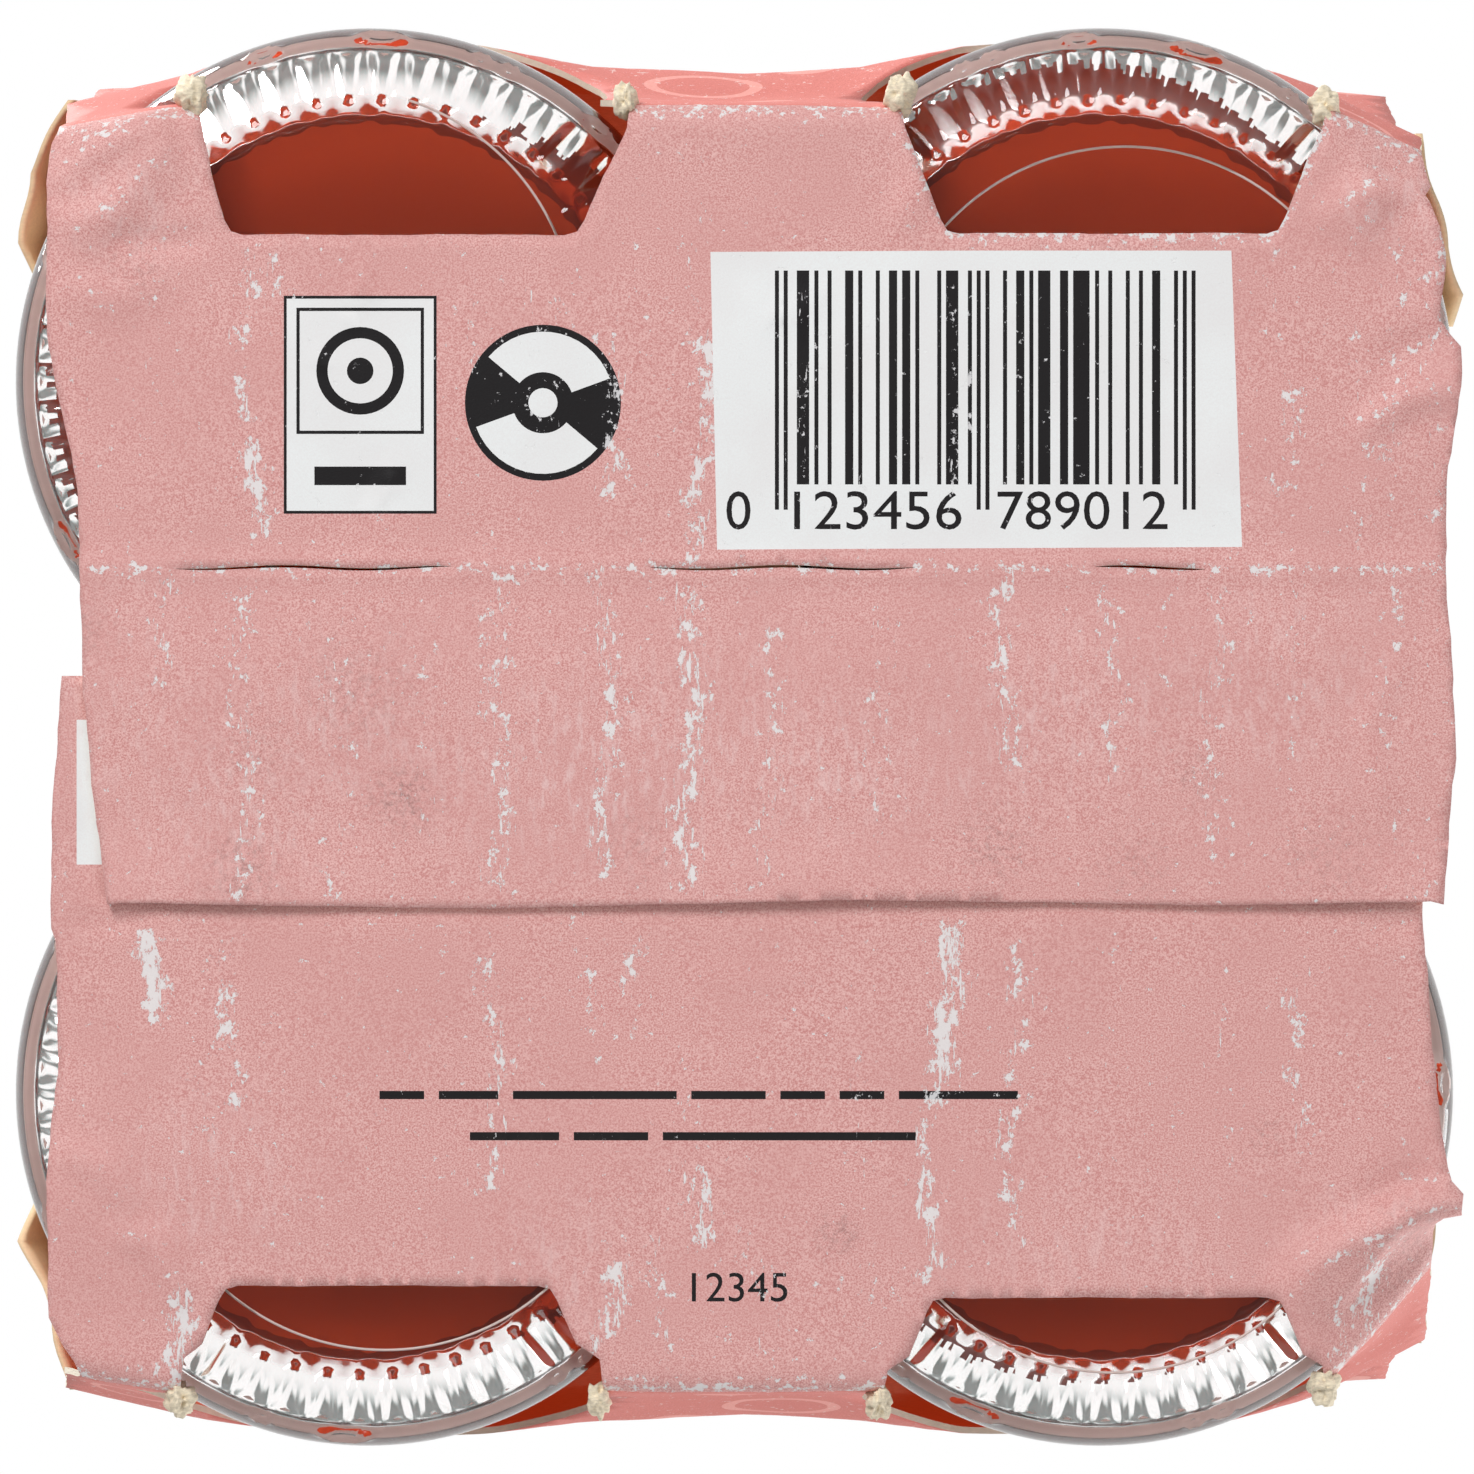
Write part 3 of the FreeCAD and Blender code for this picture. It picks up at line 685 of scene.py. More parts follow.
# the wrap's two side edges, as (Y or Z, X) rows on each of its panels in turn
LEFT_EDGE = (
    (on_front, ((12.6, -47.8), (6, -48.6), (-4.3, -49.7), (-12.7, -49.8), (-18.8, -50),
                (-24, -51.2), (-30, -52.3), (-43, -52.4), (-46, -52.2), (-FRONT_FOLD, -51.6))),
    (up_front, ((6, -51), (20, -51.8), (31, -52.4), (60, -53), (160, -52.9))),
    (up_back, ((160, -53), (60, -52.8), (31, -52.4), (12, -51.5))),
    (on_back, ((BACK_FOLD, -49.8), (47.6, -51.1), (45.3, -52.2), (33.3, -52.4), (25.4, -51.5),
               (15.2, -51.7), (14.4, -52), (3.9, -51.9), (-4.6, -51.2))),
)
RIGHT_EDGE = (
    (on_front, ((12.6, 52.7), (1.7, 53.7), (-12.6, 53), (-20.1, 53), (-26.9, 54.2),
                (-29.7, 54.1), (-31, 52.5), (-35.9, 53), (-42.6, 51.4), (-44.2, 51.9),
                (-FRONT_FOLD, 51.4))),
    (up_front, ((8, 51), (20, 52), (31, 52.6), (60, 53), (160, 53))),
    (up_back, ((160, 53), (60, 53), (31, 52.8), (12, 52.4))),
    (on_back, ((BACK_FOLD, 52.2), (42.3, 52.4), (38.5, 52.6), (37.4, 54.1), (34.2, 54.2),
               (33.2, 53.2), (23.5, 51.9), (14.9, 51.3), (-4.6, 51.1))),
)


def blank_outline():
    """The wrap laid flat, as (X, run): its two uneven side edges, the flap and the lap."""
    runs = np.arange(0, END_RUN + 0.5, 1.0)
    runs[-1] = END_RUN
    sides = []
    for edge, size, seed in ((LEFT_EDGE, 0.14, 1), (RIGHT_EDGE, 0.16, 5)):
        table = sorted((float(way(at)), x) for way, rows in edge for at, x in rows)
        sides.append(stations(runs, table) + wobble(runs, size, seed))
    low, high = sides
    flap = np.linspace(low[0], high[0], 100)[1:-1]
    flap_run = (0.25 + 0.22 * np.sin(flap * 0.11 + 0.6) + wobble(flap, 0.07, 3)
                + 0.004 * (flap - 50))
    lap = np.linspace(high[-1], low[-1], 100)[1:-1]
    return np.vstack([np.column_stack([low, runs])[::-1],
                      np.column_stack([flap, flap_run]),
                      np.column_stack([high, runs]),
                      np.column_stack([lap, np.full(len(lap), END_RUN)])])


def heel_opening(inner, inner_x, outer_x, wall_x, base, up):
    """One opening: its edge on the base, its flared sides and the round top on the wall."""
    out = math.copysign(1, inner)
    deep = 8.0 if abs(inner) < 40 else 5.5      # how far out the flanks stop flaring

    def flank(x, out_x, way):
        slack = (inner_x[1] - inner_x[0]) * 0.012
        return [(x - way * 1.4, base(inner)), (x - way * 0.5, base(inner + out * 0.25)),
                (x, base(inner + out * 1.1)),
                (x + (out_x - x) * 0.35 + way * slack, base(inner + out * 4.4)),
                (out_x, base(inner + out * deep)), (out_x + way * 0.5, up(2.5)),
                (wall_x + way * 17.6, up(9.3))]     # on the round top's circle

    loop = flank(inner_x[1], outer_x[1], 1)
    loop += [(wall_x + WALL_ROUND * math.cos(a), up(WALL_ROUND_UP + WALL_ROUND * math.sin(a)))
             for a in np.radians(np.linspace(0, 180, 25))]
    loop += flank(inner_x[0], outer_x[0], -1)[::-1]
    loop = dense(loop[-1:] + loop[:-1], 0.7)
    loop[:, 0] += wobble(loop[:, 1] + loop[:, 0], 0.09, abs(inner) + inner_x[0])
    loop[:, 1] += wobble(loop[:, 0] * 1.3, 0.07, inner)
    return loop


def wrap_holes():
    left_x, right_x = CENTRES["front_left"][0], CENTRES["front_right"][0]
    holes = [
        heel_opening(-37.8, (-39.0, -11.9), (-40.6, -8.7), left_x, on_front, up_front),
        heel_opening(-37.9, (14.9, 40.8), (12.2, 43.6), right_x, on_front, up_front),
        heel_opening(41.3, (-39.4, -14.0), (-42.0, -10.8), left_x, on_back, up_back),
        heel_opening(42.2, (13.9, 40.9), (10.9, 43.7), right_x, on_back, up_back),
    ]
    holes += [ring(x, on_top(0), FINGER_RADIUS, 72) for x in FINGER_HOLES]
    crease = on_front(CREASE - 0.02)
    for x0, x1 in ((-42.6, -21.9), (-6.9, 13.0), (26.6, 34.8)):
        x = np.linspace(x0, x1, int(x1 - x0) + 2)
        middle = crease + 0.12 * np.sin(x * 0.5)
        wide = 0.10 * np.sqrt(np.clip(1 - ((x - (x0 + x1) / 2) / (x1 - x0) * 2) ** 2, 0.02, 1))
        holes.append(np.vstack([np.column_stack([x, middle + wide]),
                                np.column_stack([x, middle - wide])[::-1]]))
    return holes


# ---- prints on the blank
OUTER, INNER, RAW, BLACK, WHITE, CORAL, PALE, CREAM = range(8)


def digit_loops(text, height, x0, y0, base, width=None):
    """Outlines of plain digits, read with -Y up, from Blender's own built-in letters."""
    data = bpy.data.curves.new("digits", "FONT")
    data.body = text
    holder = add_object("digits", data)
    curve = holder.to_curve(bpy.context.evaluated_depsgraph_get())
    loops = []
    for spline in curve.splines:
        knots = spline.bezier_points
        loop = []
        for k, knot in enumerate(knots):
            after = knots[(k + 1) % len(knots)]
            for t in (0, 0.25, 0.5, 0.75):
                u = 1 - t
                spot = (knot.co * u ** 3 + knot.handle_right * 3 * u * u * t
                        + after.handle_left * 3 * u * t * t + after.co * t ** 3)
                if not loop or (spot.xy - Vector(loop[-1])).length > 0.01:
                    loop.append(tuple(spot.xy))
        loops.append(np.array(loop))
    holder.to_curve_clear()
    bpy.data.objects.remove(holder)
    bpy.data.curves.remove(data)
    every = np.vstack(loops)
    low, high = every.min(axis=0), every.max(axis=0)
    tall = height / (high[1] - low[1])
    wide = tall if width is None else width / (high[0] - low[0])
    return [np.column_stack([x0 + (loop[:, 0] - low[0]) * wide,
                             base(y0 - (loop[:, 1] - low[1]) * tall)]) for loop in loops]


# widths of the made-up bars and of the gaps between them, in modules
BARS = (1, 1, 1, 2, 3, 1, 1, 2, 1, 3, 2, 1, 1, 3, 1, 2, 2, 1, 2, 1, 1, 4, 1, 1, 3, 2, 1, 1, 1, 1,
        1, 3, 1, 2, 2, 1, 1, 1, 3, 2, 2, 1, 4, 1, 1, 2, 1, 3, 1, 2, 1, 2, 2, 3, 1, 1, 1, 1, 1)
LONG_BARS = (0, 1, 14, 15, 28, 29)
MODULE = 0.33


def bar_field():
    """A made-up row of bars over made-up digits on a white field."""
    white = [np.array([(-2.4, on_front(-36.5)), (17, on_front(-36.6)), (36.8, on_front(-36.6)),
                       (37.6, on_front(-14.3)), (17, on_front(-14.2)), (-1.9, on_front(-14.1))])]
    black = []
    for k in range(0, len(BARS), 2):
        x = 2.45 + sum(BARS[:k]) * MODULE
        low = -17.1 if k // 2 in LONG_BARS else -19.0
        black.append(box(x, x + BARS[k] * MODULE * 0.94, on_front(-35.1), on_front(low)))
    for text, x, width in (("0", -1.2, None), ("123456", 3.9, 12.6), ("789012", 19.2, 12.8)):
        black += digit_loops(text, 2.9, x, -15.6, on_front, width)
    return white, black


def framed_box():
    """A white box in a thin black frame, holding a ring, a dot and a bar."""
    x0, x1, y0, y1 = -34.5, -23.0, -33.2, -16.8

    def inset(side, top, foot):
        return box(x0 + side, x1 - side, on_front(y0 + top), on_front(foot))

    centre_x, centre = (x0 + x1) / 2, on_front(y0 + 5.65)
    outer = inset(0, 0, y1)
    return [outer], [outer, inset(0.22, 0.22, y1 - 0.22), inset(0.95, 0.9, y0 + 10.4),
                     inset(1.2, 1.15, y0 + 10.15), ring(centre_x, centre, 3.3),
                     ring(centre_x, centre, 2.45), ring(centre_x, centre, 1.0, 24),
                     inset(2.3, y1 - 3.55 - y0, y1 - 2.15)]


def sector(x, run, low, high, start, stop):
    turn = np.radians(np.linspace(start, stop, 16))
    return np.vstack([circle(x, run, high, turn), circle(x, run, low, turn)[::-1]])


def round_mark():
    """A black disc with two pale arcs and a pale dot."""
    x, run = -15.0, on_front(-25.15)
    arcs = [sector(x, run, 2.3, 5.35, start, start + 120) for start in (20, 200)]
    return [ring(x, run, 5.87, 64)], arcs + [ring(x, run, 1.1, 24)]


def word_row(words, x, y, base):
    """Plain bars in place of small print, one for each word."""
    loops = []
    for letters in words:
        loops.append(box(x, x + letters * 1.12, base(y - 0.35), base(y - 0.97)))
        x += letters * 1.12 + 1.1
    return loops


# (X, height, radius) of the walls' bubbles
BUBBLES = (
    (-47, 40, 3.4), (-42, 52, 5), (-49, 60, 2.2), (-33, 44, 2.6), (-46, 78, 3.8), (-40, 88, 2.4),
    (-49, 95, 2.8), (-44, 110, 4.4), (-36, 122, 2.8), (-24, 134, 3.6), (-8, 128, 2.4),
    (6, 138, 4.2), (21, 130, 2.6), (34, 120, 3.4), (45, 112, 4.6), (49, 96, 2.2), (42, 86, 3),
    (47, 74, 4), (49, 58, 2.6), (42, 50, 4.4), (47, 38, 2.6), (1, 14, 3), (-3, 24, 4.6),
    (5, 31, 2.2), (3, 40, 3.4), (-5, 9, 1.6), (47, 24, 3.2), (50, 14, 1.8), (46, 12, 1.6),
    (-46, 10, 1.7), (12, 46, 2), (-14, 48, 2.4), (-42, 148, 3), (40, 146, 3.2), (-4, 151, 2.4),
)


def wall_prints(up, way):
    """Pale bubbles and a cream field with a thin frame, mirrored in X where way is -1."""
    pale = []
    for x, z, radius in BUBBLES:
        pale.append(ring(x * way, up(z), radius, 36))
        if radius > 3:
            pale.append(ring(x * way, up(z), radius * 0.78, 30))
    turn = full_turn(96)
    wide, high = (np.sign(wave) * np.abs(wave) ** 0.5 for wave in (np.cos(turn), np.sin(turn)))
    field, *frame = (np.column_stack([across * wide, up(74 + tall * high)])
                     for across, tall in ((32, 17), (30.6, 15.6), (30.0, 15.0)))
    return pale, [field], frame


def prints():
    """Every print as (slot, loops); a later one lies over an earlier one."""
    low, high = on_front(-FRONT_FOLD) + 0.9, on_back(BACK_FOLD) - 0.9
    groups = [(CORAL, [box(-60, 60, low, high)])]
    for up, way in ((up_front, 1), (up_back, -1)):
        groups += list(zip((PALE, CREAM, CORAL), wall_prints(up, way)))
    groups.append((PALE, [ring(x, on_top(0), radius, 72)
                          for x in FINGER_HOLES for radius in (14.2, 13.2)]))
    groups += list(zip((WHITE, BLACK) * 2 + (BLACK, WHITE),
                       (*bar_field(), *framed_box(), *round_mark())))
    groups.append((BLACK, word_row((3, 4, 11, 5, 3, 3, 8), -27.3, 27.6, on_back)
                   + word_row((6, 5, 17), -20.5, 30.7, on_back)))
    groups.append((BLACK, digit_loops("12345", 2.2, -3.8, 42.5, on_back, 7.2)))
    groups.append((WHITE, [box(-50.1, -44, on_back(9.6), on_back(-1.3))]))
    return groups


# ---- from flat to folded
FINE, COARSE = 0.8, 2.6               # the grid's spacing
CELL = 0.45                           # no grid point shares a cell this wide with an edge


def inside(points, loops):
    """Which points lie inside an odd number of the loops."""
    odd = np.zeros(len(points), bool)
    for loop in loops:
        low, high = loop.min(axis=0), loop.max(axis=0)
        near = np.nonzero(np.all((points >= low) & (points <= high), axis=1))[0]
        if not len(near):
            continue
        x, y = points[near, 0][:, None], points[near, 1][:, None]
        x0, y0 = loop[:, 0], loop[:, 1]
        x1, y1 = np.roll(x0, -1), np.roll(y0, -1)
        crosses = (y0 > y) != (y1 > y)
        with np.errstate(divide="ignore", invalid="ignore"):
            at = x0 + (y - y0) / (y1 - y0) * (x1 - x0)
        hits = (crosses & (x < at)).sum(axis=1)
        odd[near] ^= hits % 2 == 1
    return odd


def grid_rows():
    """Runs of the grid's rows and the spacing along each, finest where the base is seen."""
    rows, run = [], 0.5
    while run < END_RUN - 0.4:
        base = run < RUN[3] + 14 or run > RUN[10] - 14
        rows.append((run, FINE if base else COARSE))
        run += FINE if base else (1.0 if np.abs(run - RUN[4:10]).min() < 3.5 else COARSE)
    return rows


def triangulate(outline, holes, groups):
    """The blank cut into triangles that follow its edges, holes and prints."""
    loops = [outline] + holes + [dense(loop, 1.6) for _, group in groups[1:] for loop in group]
    box_loop = groups[0][1][0]
    loops += [dense(np.array([(-51, run), (52, run)]), 1.6, False) for run in box_loop[[0, 2], 1]]
    points, edges, used = [], [], set()
    for number, loop in enumerate(loops):
        start, count = len(points), len(loop)
        points += loop.tolist()
        last = count if number < len(loops) - 2 else count - 1
        edges += [(start + k, start + (k + 1) % count) for k in range(last)]
        for shift in ((0, 0), (0.25, 0), (-0.25, 0), (0, 0.25), (0, -0.25)):
            used |= set(map(tuple, np.floor((loop + shift) / CELL).astype(int).tolist()))
    for number, (run, spacing) in enumerate(grid_rows()):
        for x in np.arange(-54.5 + (number % 2) * spacing / 2, 54.6, spacing):
            if (math.floor(x / CELL), math.floor(run / CELL)) not in used:
                points.append((x, run))
    flat, _, faces, *_ = delaunay_2d_cdt([Vector(p) for p in points], edges, [], 0, 1e-4, False)
    flat = np.array([tuple(p) for p in flat])
    faces = np.array([tuple(f) for f in faces])
    middle = flat[faces].mean(axis=1)
    keep = inside(middle, [outline])
    for hole in holes:
        keep &= ~inside(middle, [hole])
    faces, middle = faces[keep], middle[keep]
    a, b, c = (flat[faces[:, k]] for k in range(3))
    area = (b[:, 0] - a[:, 0]) * (c[:, 1] - a[:, 1]) - (b[:, 1] - a[:, 1]) * (c[:, 0] - a[:, 0])
    faces[area < 0] = faces[area < 0][:, ::-1]
    faces, middle = faces[np.abs(area) > 1e-6], middle[np.abs(area) > 1e-6]
    slots = np.full(len(faces), OUTER)
    for slot, group in groups:
        slots[inside(middle, group)] = slot
    used_points, faces = np.unique(faces, return_inverse=True)
    return flat[used_points], faces.reshape(-1, 3), slots


def tent(x, y, line, rise, left, right):
    """A creased ridge along a line, straight-sided, and fading towards both of its ends."""
    best = np.zeros(len(x))
    line = np.asarray(line, float)
    steps = np.linalg.norm(np.diff(line, axis=0), axis=1)
    whole, before = steps.sum(), 0
    for (x0, y0), (x1, y1), step in zip(line, line[1:], steps):
        dx, dy = (x1 - x0) / step, (y1 - y0) / step
        along = (x - x0) * dx + (y - y0) * dy
        off = (x - x0) * -dy + (y - y0) * dx
        past = np.maximum(np.maximum(-along, along - step), 0)
        wide = np.where(off > 0, left, right)
        share = (before + np.clip(along, 0, step)) / whole
        high = np.clip(1 - np.hypot(off, past) / wide, 0, 1)
        best = np.maximum(best, high * np.sqrt(np.clip(np.sin(share * math.pi), 0, 1)))
        before += step
    return rise * best


# (X, shift inwards): the walls are pulled in above the base folds and tucked in at them
FRONT_PULL = ((-53, 5.2), (-48, 4), (-43, 2.9), (-37, 0.9), (-28, 0), (-20, 0.8), (-12, 2.3),
              (0, 2.9), (9, 2.7), (17, 0.9), (27, 0), (36, 1), (44, 3.6), (48, 5.6), (53, 8))
BACK_PULL = ((-53, 3.9), (-43, 1.7), (-36, 0.5), (-28, 0), (-19, 0.4), (-12, 1.2), (0, 1.7),
             (9, 1.4), (17, 0.4), (27, 0), (36, 0.8), (44, 3), (48, 5), (53, 7.6))
FRONT_TUCK = ((-53, 1.9), (-50, 1.2), (-43, 0.1), (0, 0), (43, 0), (47, 1.4), (53, 4.2))
BACK_TUCK = ((-53, 2.2), (-49, 1), (-43, 0), (0, 0), (41, 0), (44, 0.4), (48, 4.4), (53, 10.2))
CREASES = (
    # points (X, Y), rise (down, towards the viewer), and the widths to its two sides
    (((-52.5, -42.2), (-49, -45), (-43, -46.8)), 0.9, 3.5, 2.5),
    (((-51.5, -38), (-47.9, -39.5), (-42.6, -45)), 0.8, 3, 2.2),
    (((-48, -37.6), (-43.4, -37), (-40, -37.6)), -0.5, 1.2, 1.4),
    (((-52, -34), (-47, -33), (-43, -34.5)), 0.35, 2.5, 2),
    (((47.3, -28), (51, -29.5), (55, -30.3)), -0.45, 2, 1.8),
    (((46, -23), (50, -25.7), (55, -26.5)), 0.8, 2, 1.2),
    (((43.5, -38), (46, -41), (52, -44)), 0.8, 3, 2),
    (((46, -45.5), (47.6, -41), (46.2, -36)), 0.45, 2.2, 2.2),
    (((41, 42.7), (43.3, 39.7), (48.5, 37.3), (54.5, 34.4)), 1.7, 5, 3),
    (((44.5, 44), (47.5, 41.5), (50, 37)), 0.8, 1.6, 2.2),
    (((46, 34.5), (50, 33), (54, 33.5)), -0.5, 1.6, 1.2),
    (((-50.5, 13.9), (-47.5, 14.1), (-44.5, 13.6)), -0.3, 0.8, 0.8),
    (((46, 14.2), (49, 14.4), (52, 14)), -0.35, 0.8, 0.8),
    (((-47.5, 37), (-44, 38.5), (-42, 43)), 0.5, 1.8, 2.4),
    (((-52, 31), (-48, 32.5), (-46, 36)), 0.45, 1.6, 2),
    (((-34, -31), (-31.8, -28.5), (-30, -27)), 0.12, 0.7, 0.7),
    (((-25.5, -21), (-27.5, -17), (-26.5, -14)), 0.2, 1, 0.8),
    (((-28, -37.3), (-28.6, -34), (-30, -31)), 0.18, 0.7, 0.9),
    (((0, -34), (2, -31), (7, -33.5)), 0.16, 1.2, 1),
    (((-4, 18), (1, 18.4), (6, 17.8)), 0.16, 0.7, 0.7),
    (((-47, -5), (-44, 0), (-41.5, 5)), 0.22, 1.8, 1.4),
    (((50, -7), (47, -1), (48.5, 6)), 0.25, 1.6, 1.6),
    (((12, -38), (13.5, -42), (12.8, -46)), 0.5, 1.6, 1.8),
)


def crumpled(points, run):
    """The folded sheet with the dents, creases and crushed corners of a handled pack."""
    x, y, z = points.T.copy()
    front, side = y < 0, np.abs(y)
    on_base = (run < RUN[3] + 1.5) | (run > RUN[10] - 1.5)
    low_part = smooth_step(0, 22, z)
    tuck = np.where(front, stations(x, FRONT_TUCK), stations(x, BACK_TUCK))
    pull = np.where(front, stations(x, FRONT_PULL), stations(x, BACK_PULL))
    high = 1 - smooth_step(45, 118, z) * np.where(np.abs(x) > 40, 1, 0.75)
    high *= 1 - smooth_step(112, 130, z)
    reach = np.where(front, 9.0, 15.0)
    fold = np.where(front, FRONT_FOLD, BACK_FOLD)
    base_share = smooth_step(fold - reach, fold, side)
    inwards = np.where(on_base, tuck * base_share,
                       (tuck * (1 - low_part) + pull * low_part) * high)
    y = y - np.sign(y) * inwards
    # the crushed corners leave the base and rise
    rise = np.where(front, stations(x, ((-53, 1.6), (-46, 0.2), (0, 0), (44, 0), (53, 3.0))),
                    stations(x, ((-53, 1.4), (-46, 0.2), (0, 0), (42, 0), (46, 2.4), (53, 6.0))))
    z = z + rise * np.where(on_base, base_share, 1 - smooth_step(2, 30, z))
    base = run < RUN[3]
    back = run > RUN[10]
    lift = np.zeros(len(x))
    for line, up, left, right in CREASES:
        lift += tent(x, points[:, 1], line, up * 1.35, left, right)
    rough = np.array([noise.noise(Vector((a * 0.055, b * 0.055, 3.1))) * 0.55
                      + noise.noise(Vector((a * 0.16, b * 0.16, 7.7))) * 0.16
                      for a, b in zip(x.tolist(), (points[:, 1] + points[:, 2]).tolist())])
    edge = smooth_step(40, 52, np.abs(x))
    z = z - np.where(base | back, lift + rough * (0.45 + 1.1 * edge), 0)
    y = y + np.where(base | back, 0, np.sign(y) * rough * 0.8)
    # the flap stands a little off the panel behind it
    free = smooth_step(6, FLAP, points[:, 1]) * base
    z = z - free * (0.30 + 0.22 * np.sin(x * 0.13 + 1.0))
    # the score across the front panel is bent, so the flap tips away from it
    z = z - np.where(base, 0.28 * bell(points[:, 1] - CREASE, 1.0), 0)
    return np.column_stack([x, y, z])


# (X, Y from, Y to, half width, strength) of the rubbed streaks on the base
STREAKS = (
    (-37.2, -36.5, -24, 0.9, 0.62), (-37, -22, -15.5, 1.1, 0.8), (-34.5, -36, -33, 0.7, 0.6),
    (-44.5, -34, -20, 0.8, 0.35), (-20.8, -37, -28, 0.8, 0.5), (-15.5, -33, -20, 2.2, 0.45),
    (-10.2, -30, -18.5, 1, 0.66), (-3.5, -44, -33, 1, 0.42), (-3, -30, -13.5, 0.9, 0.78),
    (-8, -45, -30, 0.8, 0.35), (4.7, -33.5, -18, 1.2, 0.5), (16.2, -33, -17.5, 1.2, 0.58),
    (20.8, -34, -18, 0.9, 0.45), (9.8, -19, -14, 0.9, 0.55), (41, -26, -18, 1.2, 0.62),
    (40.2, -40, -28, 0.8, 0.45), (49.2, -38, -20, 1.2, 0.48), (46.5, -31, -14, 0.7, 0.4),
    (-43.2, -12, -4, 0.8, 0.62), (-37.5, -12, 12, 1.3, 0.55), (-30.5, -9, 12, 1.6, 0.45),
    (-18.3, -12, 11.5, 1.4, 0.6), (-10.2, -12.6, 10, 1, 0.68), (-4, -11, 11.5, 1.3, 0.72),
    (2, -8, 12, 1, 0.58), (10.5, -9, 7, 1.5, 0.45), (19.8, -12.6, 2, 1.1, 0.66),
    (27.6, -11.8, 3, 1, 0.58), (35.5, -11, 9, 1.4, 0.55), (41.5, -12, 4, 0.9, 0.45),
    (49, -11, 10, 1.1, 0.4), (-24.5, -8, 8, 1.8, 0.4), (32, -12.6, -4, 0.7, 0.45),
    (-44, 15, 21, 1.1, 0.86), (-38.5, 16, 28, 1.1, 0.6), (-18.8, 16, 34, 1.2, 0.58),
    (-11.8, 13.5, 24, 1.3, 0.5), (-8, 15, 22, 1.1, 0.58), (15.4, 14.5, 27, 1.3, 0.85),
    (20.4, 16, 38, 1.1, 0.62), (9, 24, 33, 1, 0.45), (27.5, 15, 24, 0.8, 0.38),
    (41.8, 17, 30, 1.1, 0.6), (36.5, 17, 34, 0.9, 0.42), (-3.8, 24, 33, 0.9, 0.42),
    (-3.6, 32.5, 38.2, 1.4, 0.78), (0.6, 36, 41.5, 1, 0.55), (-9.6, 40, 46, 1.2, 0.72),
    (14, 29, 41, 1.2, 0.72), (-6.4, 38, 46, 0.9, 0.55), (1.9, 40, 47, 1, 0.5),
    (-42.5, 42, 48, 1.3, 0.8), (-40.5, 24, 36, 0.8, 0.4), (47.6, 39, 44.5, 1.2, 0.75),
    (44.5, 43, 47, 0.8, 0.6), (-29, 15, 21, 0.8, 0.35), (33, 28, 40, 0.7, 0.35),
    (52.5, -45, -30, 1.3, 0.55), (-49.5, -30, -14, 1, 0.35), (10.5, 40, 43, 2.6, 0.42),
    (-20, 12, 14, 6, 0.3), (52, -30, -16, 1, 0.5), (51.5, 2, 12, 1, 0.4),
)
# (X, Y, reach in X, reach in Y, strength) of rubbed pale patches
PATCHES = (
    (-30, -1, 9, 6, 0.5), (-12, 2, 12, 7, 0.62), (6, 2, 9, 5, 0.55), (24, -2, 10, 6, 0.5),
    (-38, 6, 8, 6, 0.5), (40, -4, 8, 7, 0.45), (-46, -2, 5, 8, 0.35), (-40, 33, 6, 6, 0.5),
    (-2, 0, 8, 8, 0.5), (26, 38, 12, 5, 0.3), (-46, -40, 5, 4, 0.45), (49, -41, 4, 4, 0.5),
    (48, 36, 6, 3, 0.4), (-14, 40, 6, 5, 0.4), (12, 3.5, 14, 3, 0.4),
)
# (X, Y, reach, strength) of grey dirt
SPOTS = (
    (-25.5, 4.6, 2.2, 0.8), (-37.6, 9.8, 2.6, 0.62), (19, 8.2, 2.8, 0.5), (34, 3, 2, 0.4),
    (-29, -3.4, 4, 0.36), (7.2, 37.4, 1.6, 0.6), (39.5, 30, 1.5, 0.4), (-36.5, 1, 3, 0.3),
    (44, 9, 4, 0.28), (-8, 7.8, 3, 0.3), (50.5, 37.5, 2.5, 0.4), (-50, -8, 3, 0.3),
    (48.5, 40.5, 2, 0.35), (29.5, 9.5, 3.2, 0.3), (-45.5, -35.5, 2.2, 0.35),
)


